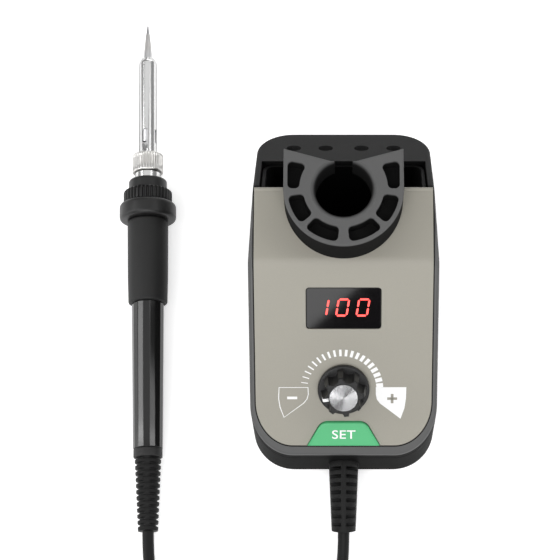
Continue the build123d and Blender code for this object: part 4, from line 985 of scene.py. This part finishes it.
# Studio
FLOOR_REACH = 3.0
FLOOR_GLOW = 0.42
WORLD_LIGHT = 0.26

# Lights: name, place, target, width, height, power, and turn about the aim in degrees
LIGHTS = (
    ("front_key", (-0.1, -0.62, 1.25), (0, 0, 0.03), 1.3, 0.6, 8.0, 0),
    ("left_strip", (-0.95, -0.05, 0.5), (-0.05, 0, 0.03), 0.22, 1.4, 4.2, 0),
    ("right_strip", (0.95, -0.05, 0.55), (0.0, 0, 0.05), 0.25, 1.4, 4.2, 0),
    ("rear_top", (-0.05, 0.5, 1.45), (0, 0, 0), 2.0, 1.1, 4.0, 0),
    ("back_fill", (0.2, 1.1, 0.4), (0, 0.08, 0.04), 1.0, 0.4, 3.0, 0),
    ("facet_card_left", (-0.85, 0.19, 0.638), (-0.088, 0.0, 0.015), 0.42, 0.16, 1.1, 0),
    ("facet_card_right", (0.522, 0.22, 0.778), (-0.084, 0.0, 0.015), 0.42, 0.16, 0.55, 0),
    ("window_card", (-0.098, -0.9765, 0.7978), (0, -0.0195, 0.0684), 0.25, 0.25, 1.2, 45),
    ("cap_card_left", (-0.42, -1.1, 0.8), (0, -0.07, 0.05), 0.3, 0.3, 2.5, 0),
    ("cap_card_right", (0.42, -1.1, 0.8), (0, -0.07, 0.05), 0.3, 0.3, 2.5, 0),
)


def make_floor():
    """Square sheet of white paper that glows a little, so that the ground reads as white."""
    mesh = bpy.data.meshes.new("floor")
    corners = [(-1, -1, 0), (1, -1, 0), (1, 1, 0), (-1, 1, 0)]
    mesh.from_pydata((np.array(corners) * FLOOR_REACH).tolist(), [], [(0, 1, 2, 3)])
    floor = bpy.data.objects.new("floor", mesh)
    bpy.context.scene.collection.objects.link(floor)
    paper = Finish("studio_paper", Roughness=0.9, Specular_IOR_Level=0.1, Emission_Color=grey(1.0),
                   Emission_Strength=FLOOR_GLOW)
    paper.vary("Base Color", paper.blend(paper.noise(8.0), grey(0.86), grey(0.89)))
    mesh.materials.append(paper.material)


def make_lamp(name, place, target, wide, tall, power, turn):
    """Rectangular lamp at a place, aimed at a target and turned about its aim."""
    lamp = bpy.data.lights.new(name, "AREA")
    lamp.shape = "RECTANGLE"
    lamp.size = wide
    lamp.size_y = tall
    lamp.energy = power
    holder = bpy.data.objects.new(name, lamp)
    bpy.context.scene.collection.objects.link(holder)
    holder.location = place
    aim = Vector(target) - Vector(place)
    holder.rotation_euler = aim.to_track_quat("-Z", "Y").to_euler()
    holder.rotation_euler.rotate_axis("Z", radians(turn))


def make_studio():
    """Paper, lamps and an even white surround, shown with plain display colours."""
    make_floor()
    for lamp in LIGHTS:
        make_lamp(*lamp)
    world = bpy.data.worlds.new("studio")
    bpy.context.scene.world = world
    world.use_nodes = True
    sky = world.node_tree.nodes["Background"].inputs
    sky["Color"].default_value = grey(1.0)
    sky["Strength"].default_value = WORLD_LIGHT
    bpy.context.scene.view_settings.view_transform = "Standard"


# Camera
CAMERA_AT = (0.0, -0.2633, 0.7715)
CAMERA_ELEVATION = radians(70)
CAMERA_LENS = 115.7
SENSOR_W = 36.0
IMAGE_PX = 560
STATION_SHIFT_PX = -63.6


def make_camera():
    """Camera before the station, looking down at it; a lens shift sets the station right of the middle."""
    camera = bpy.data.cameras.new("camera")
    camera.lens = CAMERA_LENS
    camera.sensor_width = SENSOR_W
    camera.shift_x = STATION_SHIFT_PX / IMAGE_PX
    holder = bpy.data.objects.new("camera", camera)
    bpy.context.scene.collection.objects.link(holder)
    holder.location = CAMERA_AT
    holder.rotation_euler = (pi / 2 - CAMERA_ELEVATION, 0, 0)
    bpy.context.scene.camera = holder


# Edge roundings of the smoothed copies, in millimetres; nought keeps the solid's own edges
SOFT_EDGES = {
    "top_shell": 0,
    "bottom_case": 0,
    "front_panel": 0,
    "iron_holder": 0.2,
    "well_liner": 0.2,
    "knob": 0.15,
    "set_button": 0,
    "display_window": 0,
    "power_inlet": 0.25,
    "rocker_housing": 0.25,
    "power_rocker": 0.3,
    "station_strain_relief": 0.15,
    "barrel_socket": 0.2,
    "tip_sleeve": 0,
    "rubber_feet": 0.2,
    "inlet_pins": 0.2,
    "base_plate": 0,
}

for name, node in nodes.items():
    node.data.materials.clear()
    node.data.materials.append(FINISHES[slots_of[name]])
make_camera()
make_cord()
for name, width in SOFT_EDGES.items():
    softened(name, width)
make_marks()
make_digits()
make_letters()
make_cap()
make_bellows()
make_handle()
make_grip()
make_nose()
make_nut()
make_tip()
make_studio()
